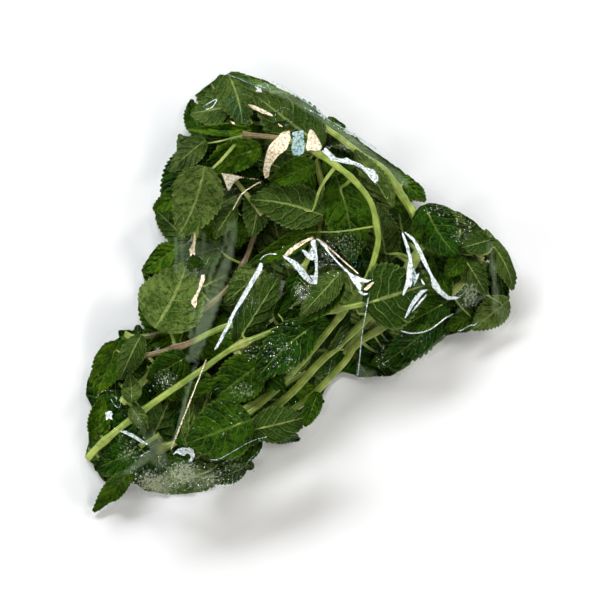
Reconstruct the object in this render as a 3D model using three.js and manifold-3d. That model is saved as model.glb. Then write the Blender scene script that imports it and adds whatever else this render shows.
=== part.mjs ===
// A bunch of mint, lying in a clear film bag with two vent holes.
//
// Millimetres, +Z up. X runs to the right and Y to the top of the photograph, which looks down on
// the bag. The origin is the middle of the bag's flat underside. Places in the plan are given as
// pixels of the 600 pixel photograph, and sizes are real.

import * as THREE from "three";
import { mergeVertices } from "three/addons/utils/BufferGeometryUtils.js";
import Module from "manifold-3d";

const wasm = await Module();
wasm.setup();

// Scale: a vent hole is 6 mm across and 15 pixels wide
const PIXELS_PER_MM = 2.5;
const CENTRE_PIXEL = [300, 295];

// Driving sizes of the herb
const BLADE_THICK = 0.65;
const LONG_BLADE = 31;
const ROWS = { long: 6, short: 4 };
const TOOTH_SHARE = 0.09;
const ROOT_SHARE = 0.14;
const TIP_SHARE = 0.07;
const NATURAL_WIDTH = 0.62;
const FOLD_MOST = 2.2;
const FOLD_LEAST = 0.5;
const TIP_LIFT_MOST = 1.3;
const PETIOLE_RADIUS = 0.75;
const PETIOLE_STEPS = 2;
const PETIOLE_SIDES = 3;
const STEM_STEP = 15;
const STEM_SIDES = 5;
const STEM_TAPER = 0.72;

// How the pieces lie on each other
const GAP = 0.4;
const HEAP_HALF = 96;
const HEAP_CELL = 1.5;
const BLADE_REACH = 2.4;
const BLADE_STIFF = 3;
const STEM_STIFF = 8;

// Driving sizes of the bag
const FILM = 0.6;
const FLOOR_SHARE = 0.8;
const VENT_SIDES = 12;
const FILM_STEP = 14;
const FILM_ROOM = 0.5;
const SEAM = 1;
const MARGIN = 0.5;
const PRESS_SHARE = 0.12;
const PRESS_STEPS = 16;
const VENT = 6;
const TALL = 90;
const OUTLINE_STEPS = 50;

const UPPER = "upper";
const UNDER = "under";

// A leaf's place in the plan, its width, the side that it shows and how far its rib bends sideways
const leaf = (root, tip, wide, shows, bend = 0) => ({ root, tip, wide, shows, bend });

const SPRIGS = [
  {
    name: "sprig_left_cut",
    radius: 1.4,
    stem: [[123, 334], [136, 338], [170, 330], [215, 300], [240, 270], [255, 230], [262, 190]],
    under: [
      leaf([178, 245], [140, 272], 10, UPPER),
      leaf([225, 245], [172, 262], 12, UPPER),
      leaf([205, 213], [218, 243], 9, UPPER),
    ],
    over: [
      leaf([262, 182], [238, 247], 12, UPPER, -0.06),
      leaf([262, 187], [252, 237], 12, UNDER),
      leaf([241, 193], [205, 212], 9, UNDER),
      leaf([235, 205], [214, 238], 8, UNDER),
      leaf([270, 265], [224, 303], 14, UNDER),
    ],
  },
  {
    name: "sprig_upper_left",
    radius: 1.1,
    stem: [[262, 215], [235, 180], [215, 160], [200, 150]],
    under: [
      leaf([204, 134], [190, 96], 9, UPPER, 0.1),
      leaf([196, 150], [160, 198], 14, UPPER),
      leaf([190, 190], [151, 209], 9, UPPER),
    ],
    over: [
      leaf([230, 137], [178, 140], 6, UPPER),
      leaf([216, 143], [190, 178], 5, UPPER),
    ],
  },
  {
    name: "sprig_right",
    radius: 1.7,
    stem: [
      [198, 482], [240, 440], [302, 404], [343, 364], [359, 343], [400, 318], [440, 300],
      [470, 275], [480, 255],
    ],
    under: [
      leaf([497, 255], [509, 303], 7, UPPER),
      leaf([488, 240], [514, 290], 10, UNDER, 0.08),
      leaf([395, 355], [372, 366], 7, UPPER),
      leaf([395, 345], [362, 332], 8, UPPER),
      leaf([478, 316], [448, 329], 9, UPPER),
      leaf([510, 300], [474, 330], 12, UNDER),
    ],
    over: [
      leaf([438, 316], [380, 366], 14, UPPER, 0.05),
      leaf([450, 300], [399, 328], 12, UPPER),
      leaf([433, 256], [450, 297], 8, UPPER),
      leaf([463, 257], [487, 295], 10, UNDER),
      leaf([463, 256], [445, 277], 8, UPPER),
      leaf([490, 240], [461, 248], 9, UNDER),
    ],
  },
  {
    name: "sprig_top",
    radius: 1.5,
    stem: [
      [420, 228], [408, 205], [398, 190], [385, 170], [362, 155], [333, 133], [300, 112],
      [270, 98], [235, 92],
    ],
    under: [
      leaf([300, 112], [382, 156], 8, UNDER, -0.05),
      leaf([262, 84], [318, 112], 7, UNDER, -0.04),
      leaf([262, 118], [238, 85], 10, UPPER),
      leaf([403, 212], [396, 166], 11, UPPER),
      leaf([400, 176], [427, 200], 9, UPPER),
    ],
    over: [
      leaf([276, 86], [245, 74], 6, UPPER),
      leaf([243, 105], [190, 112], 17, UNDER),
      leaf([228, 74], [243, 126], 16, UNDER, 0.05),
      leaf([265, 128], [188, 130], 5, UPPER, 0.03),
      leaf([392, 208], [355, 150], 10, UNDER),
    ],
  },
  {
    name: "sprig_middle",
    radius: 1.9,
    stem: [
      [186, 478], [236, 436], [288, 396], [320, 362], [354, 331], [385, 300], [415, 262],
      [419, 228], [408, 203],
    ],
    under: [
      leaf([432, 206], [470, 224], 6, UNDER),
      leaf([388, 262], [376, 203], 14, UNDER),
    ],
    over: [
      leaf([424, 205], [455, 255], 18, UPPER, -0.05),
      leaf([412, 241], [421, 224], 4, UPPER),
      leaf([327, 350], [350, 312], 7, UNDER),
    ],
  },
  {
    name: "sprig_left_low",
    radius: 1.5,
    stem: [[300, 300], [255, 318], [219, 329], [182, 346], [136, 358]],
    under: [
      leaf([118, 342], [92, 396], 13, UPPER),
      leaf([188, 330], [148, 345], 8, UPPER),
      leaf([145, 361], [124, 376], 6, UPPER),
    ],
    over: [
      leaf([141, 335], [119, 380], 10, UNDER),
      leaf([155, 328], [187, 262], 27, UNDER, -0.04),
      leaf([188, 356], [147, 380], 12, UPPER),
    ],
  },
  {
    name: "sprig_low_left",
    radius: 1,
    stem: [[158, 436], [130, 453], [105, 466]],
    under: [
      leaf([150, 450], [130, 484], 8, UPPER),
    ],
    over: [
      leaf([140, 450], [93, 470], 12, UPPER),
      leaf([130, 472], [90, 515], 8, UPPER),
    ],
  },
  {
    name: "sprig_arch",
    radius: 1.5,
    stem: [
      [180, 472], [224, 432], [270, 395], [307, 356], [346, 308], [366, 280], [377, 245],
      [376, 228], [370, 203], [352, 180], [330, 163], [305, 148], [275, 139], [243, 137],
    ],
    under: [
      leaf([300, 270], [283, 312], 7, UPPER),
      leaf([317, 225], [250, 262], 8, UPPER, 0.05),
      leaf([312, 172], [288, 204], 10, UPPER),
      leaf([322, 147], [256, 97], 22, UNDER),
      leaf([336, 176], [352, 262], 19, UPPER, 0.05),
    ],
    over: [
      leaf([323, 216], [250, 200], 18, UNDER, -0.05),
      leaf([315, 165], [270, 183], 10, UPPER),
      leaf([262, 150], [203, 176], 12, UPPER, -0.06),
      leaf([207, 142], [168, 170], 10, UNDER),
      leaf([206, 168], [178, 236], 20, UNDER, 0.05),
    ],
  },
  {
    name: "sprig_long",
    radius: 1.5,
    stem: [
      [86, 460], [101, 444], [133, 418], [162, 397], [203, 369], [232, 349], [268, 333],
      [300, 321], [326, 312], [362, 304],
    ],
    under: [
      leaf([97, 446], [100, 398], 9, UPPER, 0.05),
      leaf([236, 345], [280, 275], 13, UNDER),
      leaf([243, 355], [285, 388], 14, UPPER),
      leaf([276, 318], [290, 290], 5, UPPER),
    ],
    over: [
      leaf([131, 407], [147, 429], 7, UNDER),
      leaf([132, 402], [130, 375], 8, UNDER),
      leaf([262, 362], [212, 400], 18, UPPER),
      leaf([316, 324], [256, 380], 17, UPPER, -0.05),
      leaf([342, 280], [298, 322], 9, UPPER, 0.05),
      leaf([341, 272], [300, 316], 10, UNDER),
      leaf([364, 304], [425, 285], 27, UNDER),
    ],
  },
  {
    name: "sprig_bottom",
    radius: 1.2,
    stem: [[300, 420], [262, 432], [225, 440]],
    under: [
      leaf([228, 460], [146, 488], 14, UNDER, 0.05),
      leaf([185, 449], [175, 425], 6, UPPER),
      leaf([196, 462], [170, 454], 6, UPPER),
      leaf([246, 466], [214, 482], 8, UPPER),
    ],
    over: [
      leaf([262, 440], [215, 462], 10, UPPER),
      leaf([265, 428], [300, 440], 8, UPPER),
      leaf([252, 429], [310, 415], 14, UNDER),
      leaf([318, 392], [305, 425], 7, UPPER),
      leaf([188, 445], [190, 392], 6, UNDER),
      leaf([252, 418], [188, 442], 24, UPPER),
    ],
  },
];

// The sprigs that lie hidden under the others carry a pair of leaves at each joint
const HIDDEN = [
  { name: "sprig_under_low", seed: 3, stem: [[112, 462], [170, 446], [240, 412], [306, 372]] },
  { name: "sprig_under_left", seed: 4, stem: [[120, 404], [168, 350], [186, 290], [196, 226]] },
  { name: "sprig_under_top", seed: 5, stem: [[190, 200], [214, 148], [270, 116], [332, 142]] },
  { name: "sprig_under_centre", seed: 7, stem: [[236, 356], [290, 290], [322, 220], [318, 160]] },
  { name: "sprig_under_right", seed: 8, stem: [[346, 356], [392, 292], [430, 244], [488, 262]] },
];
const HIDDEN_RADIUS = 1.5;
const HIDDEN_PAIRS = 4;
const HIDDEN_LENGTH = [60, 72];
const HIDDEN_WIDTH_SHARE = [0.56, 0.66];
const HIDDEN_ANGLE = [46, 64];
const HIDDEN_STALK = 8;
const SHORTEN = 0.94;

// The bag's outline in the plan, and the middles of its vent holes
const BAG_OUTLINE = [
  [216, 65], [246, 68], [270, 78], [304, 93], [334, 110], [378, 143], [410, 168], [434, 191],
  [466, 207], [496, 229], [510, 246], [521, 270], [525, 292], [518, 314], [502, 335], [470, 343],
  [446, 348], [414, 372], [394, 384], [358, 385], [338, 386], [328, 408], [308, 446], [272, 452],
  [256, 484], [228, 493], [188, 497], [146, 502], [120, 500], [92, 524], [78, 516], [86, 490],
  [75, 462], [80, 430], [76, 398], [84, 364], [104, 338], [112, 324], [138, 320], [132, 296],
  [134, 266], [156, 238], [144, 212], [152, 184], [158, 158], [172, 134], [177, 112], [186, 88],
  [204, 74],
];
const VENTS = [[194.5, 264], [284, 118]];

const LEAF_COLOUR = 0x3f6b22;
const FILM_COLOUR = 0xdfe8e4;

// A place in the photograph as a place in the plan
function place([across, down]) {
  return new THREE.Vector2(
    (across - CENTRE_PIXEL[0]) / PIXELS_PER_MM,
    (CENTRE_PIXEL[1] - down) / PIXELS_PER_MM,
  );
}

// A repeatable draw of numbers from 0 to 1
function draws(seed) {
  let state = seed;
  return () => {
    state = (state * 1664525 + 1013904223) % 4294967296;
    return state / 4294967296;
  };
}

const mix = (low, high, share) => low + (high - low) * share;
const left = (direction) => new THREE.Vector2(-direction.y, direction.x);

// The heap: how high the pieces laid so far reach, over a grid in the plan
class Heap {
  constructor(tops) {
    this.side = Math.ceil((2 * HEAP_HALF) / HEAP_CELL);
    this.tops = tops ?? new Float32Array(this.side ** 2).fill(FILM);
  }

  copy() {
    return new Heap(this.tops.slice());
  }

  cell(value) {
    const at = Math.floor((value + HEAP_HALF) / HEAP_CELL);
    return Math.min(Math.max(at, 0), this.side - 1);
  }

  highest(x, y, reach) {
    let top = 0;
    for (let row = this.cell(y - reach); row <= this.cell(y + reach); row++) {
      for (let column = this.cell(x - reach); column <= this.cell(x + reach); column++) {
        top = Math.max(top, this.tops[row * this.side + column]);
      }
    }
    return top;
  }

  raise(point) {
    const at = this.cell(point.y) * this.side + this.cell(point.x);
    this.tops[at] = Math.max(this.tops[at], point.z);
  }

  // Raises the heap to the faces of a solid
  cover(geometry) {
    const { position } = geometry.attributes;
    const corners = [0, 1, 2].map(() => new THREE.Vector3());
    for (let face = 0; face < geometry.index.count; face += 3) {
      corners.forEach((corner, i) =>
        corner.fromBufferAttribute(position, geometry.index.getX(face + i)),
      );
      this.coverFace(...corners);
    }
  }

  coverFace(a, b, c) {
    const reach = Math.max(a.distanceTo(b), b.distanceTo(c), c.distanceTo(a));
    const steps = Math.ceil((2 * reach) / HEAP_CELL);
    const point = new THREE.Vector3();
    for (let i = 0; i <= steps; i++) {
      for (let j = 0; i + j <= steps; j++) {
        point.copy(a).multiplyScalar((steps - i - j) / steps);
        point.addScaledVector(b, i / steps).addScaledVector(c, j / steps);
        this.raise(point);
      }
    }
  }
}

// A closed solid from a sheet: its faces turned down, the same faces at each point's rise above
// them, and a rim round the border
function thicken(sheet, rises) {
  const count = sheet.attributes.position.count;
  const low = Array.from(sheet.attributes.position.array);
  const high = low.map((value, i) => (i % 3 === 2 ? value + rises[(i - 2) / 3] : value));
  const faces = [];
  const border = new Map();
  for (let i = 0; i < sheet.index.count; i += 3) {
    const face = [0, 1, 2].map((step) => sheet.index.getX(i + step));
    faces.push(...face.map((corner) => corner + count), ...face.slice().reverse());
    face.forEach((from, step) => {
      const to = face[(step + 1) % 3];
      if (!border.delete(to + "," + from)) border.set(from + "," + to, [from, to]);
    });
  }
  for (const [from, to] of border.values()) {
    faces.push(from, to, to + count, from, to + count, from + count);
  }
  const solid = new THREE.BufferGeometry();
  solid.setAttribute("position", new THREE.Float32BufferAttribute([...low, ...high], 3));
  solid.setIndex(faces);
  return solid;
}

// The bag's outline as a closed smooth line in the plan
function bagOutline() {
  const corners = BAG_OUTLINE.map(place).map(({ x, y }) => new THREE.Vector3(x, y, 0));
  const line = new THREE.CatmullRomCurve3(corners, true, "centripetal");
  return line.getSpacedPoints(OUTLINE_STEPS).slice(0, -1);
}

// The outline moved inwards, square to its sides
function inset(points, distance) {
  return points.map((point, i) => {
    const before = points.at(i - 1);
    const after = points[(i + 1) % points.length];
    const along = new THREE.Vector2(after.x - before.x, after.y - before.y).normalize();
    const inwards = left(along).multiplyScalar(-distance);
    return new THREE.Vector2(point.x + inwards.x, point.y + inwards.y);
  });
}

// Whether a place in the plan lies inside a closed line
function isInside(point, line) {
  let inside = false;
  line.forEach((from, i) => {
    const to = line.at(i - 1);
    const share = (point.y - from.y) / (to.y - from.y);
    const crosses = from.y > point.y !== to.y > point.y;
    if (crosses && point.x < mix(from.x, to.x, share)) inside = !inside;
  });
  return inside;
}

const OUTLINE = bagOutline();
const ROOM = inset(OUTLINE, SEAM + MARGIN);

// A place that the film presses towards a middle until it lies in the bag
function pressIn(point, middle) {
  for (let step = 0; step < PRESS_STEPS && !isInside(point, ROOM); step++) {
    point.lerp(middle, PRESS_SHARE);
  }
  return point;
}

// Half a blade's width at a share of its length, as a share of its widest half
function bladeShape(share) {
  return Math.max(Math.sin(Math.PI * share ** 0.74), 0) ** 0.85;
}

// Where a blade's rib and edges lie in the plan: rows from root to tip, three points in each
function bladePlan({ root, tip, wide, bend }) {
  const from = place(root);
  const to = place(tip);
  const along = to.clone().sub(from);
  const middle = from.clone().lerp(to, 0.5).addScaledVector(left(along), bend * 2);
  const rib = new THREE.QuadraticBezierCurve(from, middle, to);
  const rows = along.length() > LONG_BLADE ? ROWS.long : ROWS.short;
  const points = [];
  for (let row = 0; row <= rows; row++) {
    const share = row / rows;
    const tooth = 1 + (row % 2 ? TOOTH_SHARE : -TOOTH_SHARE);
    const least = mix(ROOT_SHARE, TIP_SHARE, share);
    const half = (wide / 2) * Math.max(bladeShape(share) * tooth, least);
    const sideways = left(rib.getTangent(share)).multiplyScalar(half);
    for (const across of [-1, 0, 1]) {
      const at = rib.getPoint(share).addScaledVector(sideways, across);
      points.push({ share, across, at: pressIn(at, rib.getPoint(0.5)) });
    }
  }
  return { points, rows, length: along.length() };
}

// Raises each height to the mean of its neighbours, as a stiff sheet would
function stiffen(heights, columns, times) {
  for (let time = 0; time < times; time++) {
    const before = heights.slice();
    before.forEach((height, i) => {
      const column = i % columns;
      const beside = [before[i - columns], before[i + columns]];
      if (column > 0) beside.push(before[i - 1]);
      if (column < columns - 1) beside.push(before[i + 1]);
      const known = beside.filter((value) => value !== undefined);
      const mean = known.reduce((sum, value) => sum + value, 0) / known.length;
      heights[i] = Math.max(height, mean);
    });
  }
}

// How far a blade that shows narrower than it grew is folded up along its rib
function foldOf(length, wide) {
  const grown = (length * NATURAL_WIDTH) / 2;
  const hidden = Math.sqrt(Math.max(grown ** 2 - (wide / 2) ** 2, 0));
  return Math.min(Math.max(hidden * 0.6, FOLD_LEAST), FOLD_MOST);
}

// One blade, laid on the heap: edges up where its upper side shows, rib up where it lies turned
function makeBlade(spec, heap, draw) {
  const plan = bladePlan(spec);
  const fold = foldOf(plan.length, spec.wide);
  const lift = draw() * TIP_LIFT_MOST;
  const reach = Math.max(BLADE_REACH, spec.wide / 4, plan.length / plan.rows / 2);
  const heights = plan.points.map(({ at }) => heap.highest(at.x, at.y, reach) + GAP);
  stiffen(heights, 3, BLADE_STIFF);
  const sheet = new THREE.PlaneGeometry(1, 1, 2, plan.rows);
  plan.points.forEach(({ at, share, across }, i) => {
    const edge = Math.abs(across);
    const rise = fold * (spec.shows === UPPER ? edge : 1 - edge) * Math.sin(Math.PI * share);
    sheet.attributes.position.setXYZ(i, at.x, at.y, heights[i] + rise + lift * share ** 2);
  });
  sheet.computeVertexNormals();
  const { normal, position } = sheet.attributes;
  const rises = plan.points.map((_, i) => BLADE_THICK / Math.max(normal.getZ(i), 0.5));
  const root = new THREE.Vector3().fromBufferAttribute(position, 4);
  root.z += rises[4] / 2;
  return { geometry: thicken(sheet, rises), root };
}

// A round rod along a route in the plan, with a centre height at each of its steps
function makeRod(route, heights, radius, taper, sides) {
  const steps = heights.length - 1;
  const rod = new THREE.CylinderGeometry(radius * taper, radius, 1, sides, steps);
  const { position } = rod.attributes;
  for (let i = 0; i < position.count; i++) {
    const share = Math.min(Math.max(position.getY(i) + 0.5, 0), 1);
    const at = route.getPointAt(share);
    const heading = route.getTangentAt(share);
    const sideways = left(heading).multiplyScalar(-position.getX(i));
    const height = heights[Math.round(share * steps)] + position.getZ(i);
    position.setXYZ(i, at.x + sideways.x, at.y + sideways.y, height);
  }
  return closed(rod);
}

// The same geometry with its shared corners joined
function closed(geometry) {
  geometry.deleteAttribute("normal");
  geometry.deleteAttribute("uv");
  return mergeVertices(geometry, 1e-4);
}

// Centre heights that carry a rod clear over the heap
function rodHeights(route, steps, radius, heap) {
  const heights = [];
  for (let step = 0; step <= steps; step++) {
    let top = 0;
    for (let near = -4; near <= 4; near++) {
      const share = Math.min(Math.max((step + near / 4) / steps, 0), 1);
      const at = route.getPointAt(share);
      top = Math.max(top, heap.highest(at.x, at.y, radius));
    }
    heights.push(top + GAP + radius);
  }
  return heights;
}

// The route's point nearest a place in the plan, as a share of its length
function nearestShare(route, at) {
  let best = 0;
  for (let share = 0; share <= 1; share += 0.01) {
    const nearer = route.getPointAt(share).distanceTo(at) < route.getPointAt(best).distanceTo(at);
    if (nearer) best = share;
  }
  return best;
}

// The leaf stalk from a blade's root to the stem, clear over the other sprigs
function makePetiole(root, stem, others) {
  const from = new THREE.Vector2(root.x, root.y);
  const share = nearestShare(stem.route, from);
  const to = stem.route.getPointAt(share);
  const end = stem.heights[Math.round(share * (stem.heights.length - 1))];
  const route = new THREE.SplineCurve([from, from.clone().lerp(to, 0.5), to]);
  const over = rodHeights(route, PETIOLE_STEPS, PETIOLE_RADIUS, others);
  const heights = over.map((height, i) => {
    const straight = mix(root.z, end, i / PETIOLE_STEPS);
    const inner = i > 0 && i < PETIOLE_STEPS;
    return inner ? Math.max(height, straight) : straight;
  });
  return makeRod(route, heights, PETIOLE_RADIUS, 1, PETIOLE_SIDES);
}

// The stem along its route, over what lies there
function makeStem(points, radius, heap) {
  const route = new THREE.SplineCurve(points.map(place));
  const steps = Math.round(route.getLength() / STEM_STEP);
  const heights = rodHeights(route, steps, radius, heap);
  stiffen(heights, 1, STEM_STIFF);
  return { route, heights, geometry: makeRod(route, heights, radius, STEM_TAPER, STEM_SIDES) };
}

function toSolid(geometry) {
  return new wasm.Manifold(
    new wasm.Mesh({
      numProp: 3,
      vertProperties: geometry.attributes.position.array,
      triVerts: new Uint32Array(geometry.index.array),
    }),
  );
}

// The solid's largest body, without the small hollows that fusing sealed
function largestBody(solid) {
  return solid.decompose().reduce((best, body) => (body.volume() > best.volume() ? body : best));
}

function toMesh(name, solid, colour, roughness) {
  const { vertProperties, triVerts } = solid.getMesh();
  const geometry = new THREE.BufferGeometry();
  geometry.setAttribute("position", new THREE.BufferAttribute(vertProperties, 3));
  geometry.setIndex(new THREE.BufferAttribute(triVerts, 1));
  geometry.computeVertexNormals();
  const material = new THREE.MeshStandardMaterial({ color: colour, roughness, metalness: 0 });
  const mesh = new THREE.Mesh(geometry, material);
  mesh.name = name;
  return mesh;
}

// A sprig: leaves under the stem, the stem, leaves over it, and the stalks that join them
function makeSprig({ name, radius, stem, under, over }, heap, draw) {
  const others = heap.copy();
  const pieces = [];
  const roots = [];
  const lay = (spec) => {
    const blade = makeBlade(spec, heap, draw);
    heap.cover(blade.geometry);
    pieces.push(blade.geometry);
    roots.push(blade.root);
  };
  under.forEach(lay);
  const rod = makeStem(stem, radius, heap);
  heap.cover(rod.geometry);
  pieces.push(rod.geometry);
  over.forEach(lay);
  for (const root of roots) {
    const petiole = makePetiole(root, rod, others);
    heap.cover(petiole);
    pieces.push(petiole);
  }
  const fused = pieces.map(toSolid).reduce((whole, piece) => whole.add(piece));
  return toMesh(name, largestBody(fused), LEAF_COLOUR, 0.6);
}

// How long a hidden leaf can be before its tip would leave the bag
function roomAhead(root, heading, wanted) {
  let reach = wanted;
  const tip = () => root.clone().addScaledVector(heading, reach);
  while (reach > wanted / 2 && !isInside(place(tip().toArray()), ROOM)) reach *= SHORTEN;
  return reach;
}

// The leaves of a hidden sprig: opposite pairs, turned out from the stem
function hiddenSprig({ name, seed, stem }) {
  const draw = draws(seed);
  const route = new THREE.SplineCurve(stem.map((point) => new THREE.Vector2(...point)));
  const leaves = [];
  for (let pair = 0; pair < HIDDEN_PAIRS; pair++) {
    const share = (pair + 0.6) / HIDDEN_PAIRS;
    for (const side of [-1, 1]) {
      const angle = side * THREE.MathUtils.degToRad(mix(...HIDDEN_ANGLE, draw()));
      const heading = route.getTangentAt(share).rotateAround(new THREE.Vector2(), angle);
      const root = route.getPointAt(share).addScaledVector(heading, HIDDEN_STALK);
      const reach = roomAhead(root, heading, mix(...HIDDEN_LENGTH, draw()));
      const tip = root.clone().addScaledVector(heading, reach);
      const wide = (reach / PIXELS_PER_MM) * mix(...HIDDEN_WIDTH_SHARE, draw());
      leaves.push(leaf(root.toArray(), tip.toArray(), wide, draw() < 0.5 ? UPPER : UNDER));
    }
  }
  const half = leaves.length / 2;
  const radius = HIDDEN_RADIUS;
  return { name, radius, stem, under: leaves.slice(0, half), over: leaves.slice(half) };
}

// A tall upright column of a line in the plan, from below the bag to over it
function column(line) {
  const settings = { depth: 2 * TALL, bevelEnabled: false };
  const geometry = new THREE.ExtrudeGeometry(new THREE.Shape(line), settings);
  geometry.translate(0, 0, -TALL);
  return closed(geometry);
}

// A block from a level bottom up to the film's drape over the heap
function drape(heap, bottom, above) {
  const cells = Math.ceil((2 * HEAP_HALF) / FILM_STEP);
  const sheet = new THREE.PlaneGeometry(2 * HEAP_HALF, 2 * HEAP_HALF, cells, cells);
  const { position } = sheet.attributes;
  const rises = [];
  for (let i = 0; i < position.count; i++) {
    const top = heap.highest(position.getX(i), position.getY(i), FILM_STEP);
    position.setZ(i, bottom);
    rises.push(top + above - bottom);
  }
  return thicken(sheet, rises);
}

// The film bag: a drape over the heap on a flat underside, hollow, with its vent holes
function makeBag(heap) {
  const outer = toSolid(drape(heap, 0, FILM_ROOM + FILM)).intersect(toSolid(column(OUTLINE)));
  const room = toSolid(column(inset(OUTLINE, SEAM)));
  const hollow = toSolid(drape(heap, FILM * FLOOR_SHARE, FILM_ROOM)).intersect(room);
  const vents = VENTS.map(place).map(({ x, y }) => {
    const hole = new THREE.CylinderGeometry(VENT / 2, VENT / 2, TALL, VENT_SIDES);
    hole.rotateX(Math.PI / 2);
    hole.translate(x, y, TALL / 2 + FILM);
    return toSolid(closed(hole));
  });
  const film = vents.reduce((whole, vent) => whole.subtract(vent), outer.subtract(hollow));
  return toMesh("film_bag", film, FILM_COLOUR, 0.1);
}

const bunch = new THREE.Group();
const heap = new Heap();
[...HIDDEN.map(hiddenSprig), ...SPRIGS].forEach((sprig, index) => {
  bunch.add(makeSprig(sprig, heap, draws(index + 1)));
});
bunch.add(makeBag(heap));

export default bunch;
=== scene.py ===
# %% [markdown]
# # A bunch of mint in a film bag
#
# The real thing is a handful of cut mint, pressed flat in a clear bag. You look down through the
# film at dark upper sides and pale undersides of leaves, at a few pale green stems that run
# across them, and at hard bright creases where the film catches the light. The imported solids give
# each sprig's place and height. Here every solid is replaced by a finer piece that keeps its form.

# %% Load the solids
import math

import bpy
import numpy as np
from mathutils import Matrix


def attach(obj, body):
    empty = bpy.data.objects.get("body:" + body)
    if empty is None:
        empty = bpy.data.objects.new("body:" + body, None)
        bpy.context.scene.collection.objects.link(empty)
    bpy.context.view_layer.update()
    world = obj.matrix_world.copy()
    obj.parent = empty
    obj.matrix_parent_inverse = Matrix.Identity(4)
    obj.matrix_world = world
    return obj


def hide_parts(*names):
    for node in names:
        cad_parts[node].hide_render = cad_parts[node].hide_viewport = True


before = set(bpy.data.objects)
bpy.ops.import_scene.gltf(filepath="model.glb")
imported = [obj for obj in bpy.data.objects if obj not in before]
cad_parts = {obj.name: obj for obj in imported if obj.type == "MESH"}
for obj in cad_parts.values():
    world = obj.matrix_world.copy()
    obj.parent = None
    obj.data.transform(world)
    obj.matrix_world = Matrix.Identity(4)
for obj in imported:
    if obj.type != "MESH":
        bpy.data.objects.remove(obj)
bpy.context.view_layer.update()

MM = 0.001
print("solids:", len(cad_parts))


# %% [markdown]
# ## The plan
#
# The heap is easiest to read in plan, because the photograph looks straight down on it. So each
# leaf and stem is placed by points of the 600 pixel photograph, and its width is a real one in
# millimetres. The solids were made from the same list, which is why a leaf made here lands on its
# solid.

# %% From pixels to millimetres
PIXELS_PER_MM = 2.5
CENTRE_PIXEL = np.array([300.0, 295.0])
UPPER, UNDER = "upper", "under"


def place(pixels):
    """Places in the photograph as places in the plan, in millimetres."""
    return (np.asarray(pixels, float) - CENTRE_PIXEL) * (1 / PIXELS_PER_MM, -1 / PIXELS_PER_MM)


def traced(numbers):
    """A traced line in the plan, from the x and y of its pixels in turn."""
    return place(np.reshape(numbers, (-1, 2)))


def leaf(x, y, tip_x, tip_y, wide, shows, bend=0.0, tone=None):
    """A leaf: root and tip in pixels, width, the side that shows, the rib's bend, the tone."""
    return dict(root=(x, y), tip=(tip_x, tip_y), wide=wide, shows=shows, bend=bend, tone=tone)


def sprig_of(name, radius, stem, under, over):
    """A sprig: its stem's radius and line, and its leaves below and above the stem."""
    under, over = ([leaf(*row) for row in rows] for rows in (under, over))
    return dict(name="sprig_" + name, radius=radius, stem=stem, under=under, over=over)


# %% [markdown]
# Each row of the list is one sprig, and the lowest comes first. Its stem runs from the cut end to
# the top, and the leaves below the stem come before those above it. Where the photograph shows
# them, a leaf's last two numbers are its midrib's bend and its tone: for an underside 1 is dark,
# and for an upper side 0 is dark.

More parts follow.
